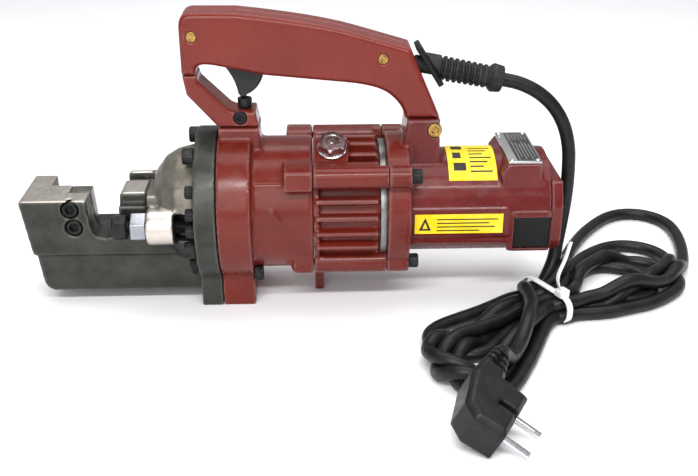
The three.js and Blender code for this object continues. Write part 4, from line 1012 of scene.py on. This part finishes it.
class REBAR_OT_motor(bpy.types.Operator):
    """Cast the motor housing and make its end cover, brush covers and terminal plate"""

    bl_idname = "rebar_cutter.motor"
    bl_label = "Motor Housing"

    def execute(self, context):
        extra = Form()
        for side in (-1, 1):
            # flat facet that carries the rating label, with a raised lip below it
            extra.slab([(side * 33, 57.5), (side * MOTOR_FLAT, 58, 1), (side * MOTOR_FLAT, 79.5, 1),
                        (side * 34, 81)], "x", 86, 157)
            extra.slab([(side * 30, 50), (side * 37.6, 51.5, 1), (side * 37.6, 55.5, 1), (side * 33, 58)],
                       "x", 86, 157)
            extra.slab([(side * 20, 45.5), (side * 40.2, 45.5, 2), (side * 40.2, 77, 2), (side * 20, 79)],
                       "x", 159.5, 188.4)
        recess = Form()
        for side in (-1, 1):
            recess.slab([(side * 35, 48.2), (side * 44, 48.2), (side * 44, 72.8), (side * 35, 72.8)],
                        "x", 160.8, 187.7)
        shell = casting("motor_shell", "motor_housing", extra, grain=1.15, rounds=4, bores=recess)
        fit(shell, [FINISHES["housing_enamel"], FINISHES["motor_enamel"]],
            "motor_housing")
        paint_faces(shell, 1, lambda c, n: c.x > 84)
        cap = casting("motor_end_cap", "end_cover", grain=0.9, rounds=4)
        fit(cap, FINISHES["motor_enamel"], "end_cover")
        for side in ("near", "far"):
            cover = turned(f"brush_cap_{side}", f"brush_cover_{side}", 0.8, 3)
            fit(cover, FINISHES["black_plastic"], f"brush_cover_{side}")
        plate = turned("terminal_plate", "terminal_cover", 0.25)
        fit(plate, FINISHES["plate_metal"], "terminal_cover")
        self.printed_field()
        self.labels()
        return {"FINISHED"}

    @staticmethod
    def printed_field():
        """A dark printed field with pale rules on the terminal plate, and its four rivets."""
        low, high = (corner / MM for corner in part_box("terminal_cover"))
        field = Form().box(low.x + 6.2, high.x - 1.2, low.y + 2, high.y - 2, high.z - 0.2, high.z + 0.12)
        fit(turned("plate_field", field, 0.05, 1), FINISHES["plate_dark"],
            body="frame_body")
        rules = Form()
        top = high.z + 0.1
        for k in range(6):
            x = low.x + 8.4 + k * 2.35
            rules.box(x, x + 0.7, low.y + 4 + 5 * (k % 2), high.y - 22 - 3 * (k % 3), top, top + 0.14)
            rules.box(x, x + 0.5, high.y - 18, high.y - 5, top, top + 0.14)
        rules.box(low.x + 8, low.x + 8.4, high.y - 20.2, high.y - 3, top, top + 0.14)
        fit(turned("plate_rules", rules, 0), FINISHES["plate_metal"], body="frame_body")
        rivets = Form()
        for x in (low.x + 2.6, high.x - 2.6):
            for y in (low.y + 3, high.y - 3):
                rivets.lathe([(-1, 1.2), (0, 1.9), (0.5, 1.7), (0.9, 1.0), (1.0, 0.2)],
                             (x, y, high.z), (0, 0, 1), 24)
        fit(turned("plate_rivets", rivets, 0), FINISHES["bright_steel"],
            body="frame_body")

    @staticmethod
    def labels():
        """Two blank-worded yellow labels: plain bars and a triangle stand for their print."""
        radius, thick = 38.9, 0.45

        def wrapped(turn, out):
            reach = radius + out
            return (-math.sin(turn) * reach, MOTOR_AXIS + math.cos(turn) * reach)

        def patch(form, x0, x1, first, last, out):
            steps = max(2, int((last - first) / 0.05))
            turns = [first + (last - first) * k / steps for k in range(steps + 1)]
            ring = [wrapped(t, out) for t in turns] + [wrapped(t, -0.3) for t in reversed(turns)]
            form.slab(ring, "x", x0, x1)
        paper, ink = Form(), Form()
        patch(paper, 114, 149, -0.25, 0.86, thick)
        for k, (x0, x1) in enumerate(((118, 126), (118, 124), (118, 127))):
            patch(ink, x0, x1, -0.12 + 0.3 * k, 0.06 + 0.3 * k, thick + 0.08)
        for k in range(7):
            patch(ink, 130, 146 - 3 * (k % 3), 0.0 + 0.11 * k, 0.035 + 0.11 * k, thick + 0.08)
        y = -MOTOR_FLAT
        paper.box(89, 153, y - 0.45, y + 1.5, 61, 76)
        ink.slab([(92, 63.5), (101, 63.5), (96.5, 73.5)], "y", y - 0.53, y - 0.3)
        paper.slab([(94.6, 65), (98.4, 65), (96.5, 70)], "y", y - 0.6, y - 0.3)
        for k, (start, end) in enumerate(((105, 149), (105, 143), (105, 147), (105, 136))):
            ink.box(start, end, y - 0.53, y - 0.3, 71.6 - k * 2.9, 72.5 - k * 2.9)
        fit(turned("motor_labels", paper, 0), FINISHES["label_yellow"], body="frame_body")
        fit(turned("label_bars", ink, 0), FINISHES["label_ink"], body="frame_body")


# ---------------------------------------------------------------- handle

class REBAR_OT_handle(bpy.types.Operator):
    """Mould the two halves of the handle and fit their brass screws"""

    bl_idname = "rebar_cutter.handle"
    bl_label = "Handle"

    def execute(self, context):
        for side in ("near", "far"):
            shell = casting(f"handle_half_{side}", f"handle_{side}_shell", grain=0.9, rounds=4)
            fit(shell, FINISHES["handle_enamel"], f"handle_{side}_shell")
        for node in ("handle_screw_front", "handle_screw_rear", "handle_lug_screw"):
            fit(turned(node.replace("handle", "grip"), node, 0.3), FINISHES["brass"], node)
        bracket = casting("front_saddle", "front_bracket", grain=0.9, rounds=3)
        fit(bracket, FINISHES["handle_enamel"], "front_bracket")
        for node in ("bracket_screw", "bracket_side_screw"):
            fit(turned(node.replace("bracket", "saddle"), node, 0.3),
                FINISHES["black_oxide"], node)
        return {"FINISHED"}


class REBAR_OT_trigger(bpy.types.Operator):
    """Mould the trigger"""

    bl_idname = "rebar_cutter.trigger"
    bl_label = "Trigger"

    def execute(self, context):
        lever = casting("trigger_lever", "trigger", grain=0.6, rounds=3)
        fit(lever, FINISHES["trigger_plastic"], "trigger")
        return {"FINISHED"}


INNER_FINISHES = {
    "bright_steel": ("cylinder_liner", "pump_plunger", "eccentric_shaft", "front_bearing",
                     "rear_bearing"),
    "die_steel": ("drive_gear",),
    "spring_steel": ("return_spring",),
    "bladder_rubber": ("ram_seal", "oil_bladder"),
    "aluminium": ("pump_block",),
    "laminations": ("stator_core", "armature"),
    "copper": ("commutator",),
    "carbon": ("brush_near", "brush_far"),
    "black_plastic": ("cooling_fan", "switch_body"),
}


class REBAR_OT_inner_works(bpy.types.Operator):
    """Finish the hydraulic and electrical works inside the castings"""

    bl_idname = "rebar_cutter.inner_works"
    bl_label = "Inner Works"

    def execute(self, context):
        for finish, nodes in INNER_FINISHES.items():
            for node in nodes:
                work = frame["nodes"][node]
                for place in work.material_slots:
                    place.material = FINISHES[finish]
        return {"FINISHED"}


STEPS = (REBAR_OT_stage, REBAR_OT_mains_lead, REBAR_OT_strain_relief, REBAR_OT_shear_head,
         REBAR_OT_dies_and_ram, REBAR_OT_bar_stopper, REBAR_OT_flange_screws, REBAR_OT_pump_case,
         REBAR_OT_finned_barrel, REBAR_OT_motor, REBAR_OT_handle, REBAR_OT_trigger,
         REBAR_OT_inner_works)


class REBAR_PT_panel(bpy.types.Panel):
    """Steps and sizes of the rebar cutter"""

    bl_idname = "REBAR_PT_panel"
    bl_label = "Rebar Cutter"
    bl_space_type = "VIEW_3D"
    bl_region_type = "UI"
    bl_category = "Rebar Cutter"

    def draw(self, context):
        for name in RebarCutterSizes.__annotations__:
            self.layout.prop(context.scene.rebar_cutter_sizes, name)
        for step in STEPS:
            self.layout.operator(step.bl_idname)


def register():
    for kind in (RebarCutterSizes, *STEPS, REBAR_PT_panel):
        bpy.utils.register_class(kind)
    bpy.types.Scene.rebar_cutter_sizes = PointerProperty(type=RebarCutterSizes)


def unregister():
    del bpy.types.Scene.rebar_cutter_sizes
    for kind in reversed((RebarCutterSizes, *STEPS, REBAR_PT_panel)):
        bpy.utils.unregister_class(kind)


def main():
    register()
    for step in STEPS:
        group, name = step.bl_idname.split(".")
        getattr(getattr(bpy.ops, group), name)()


if __name__ == "__main__":
    main()
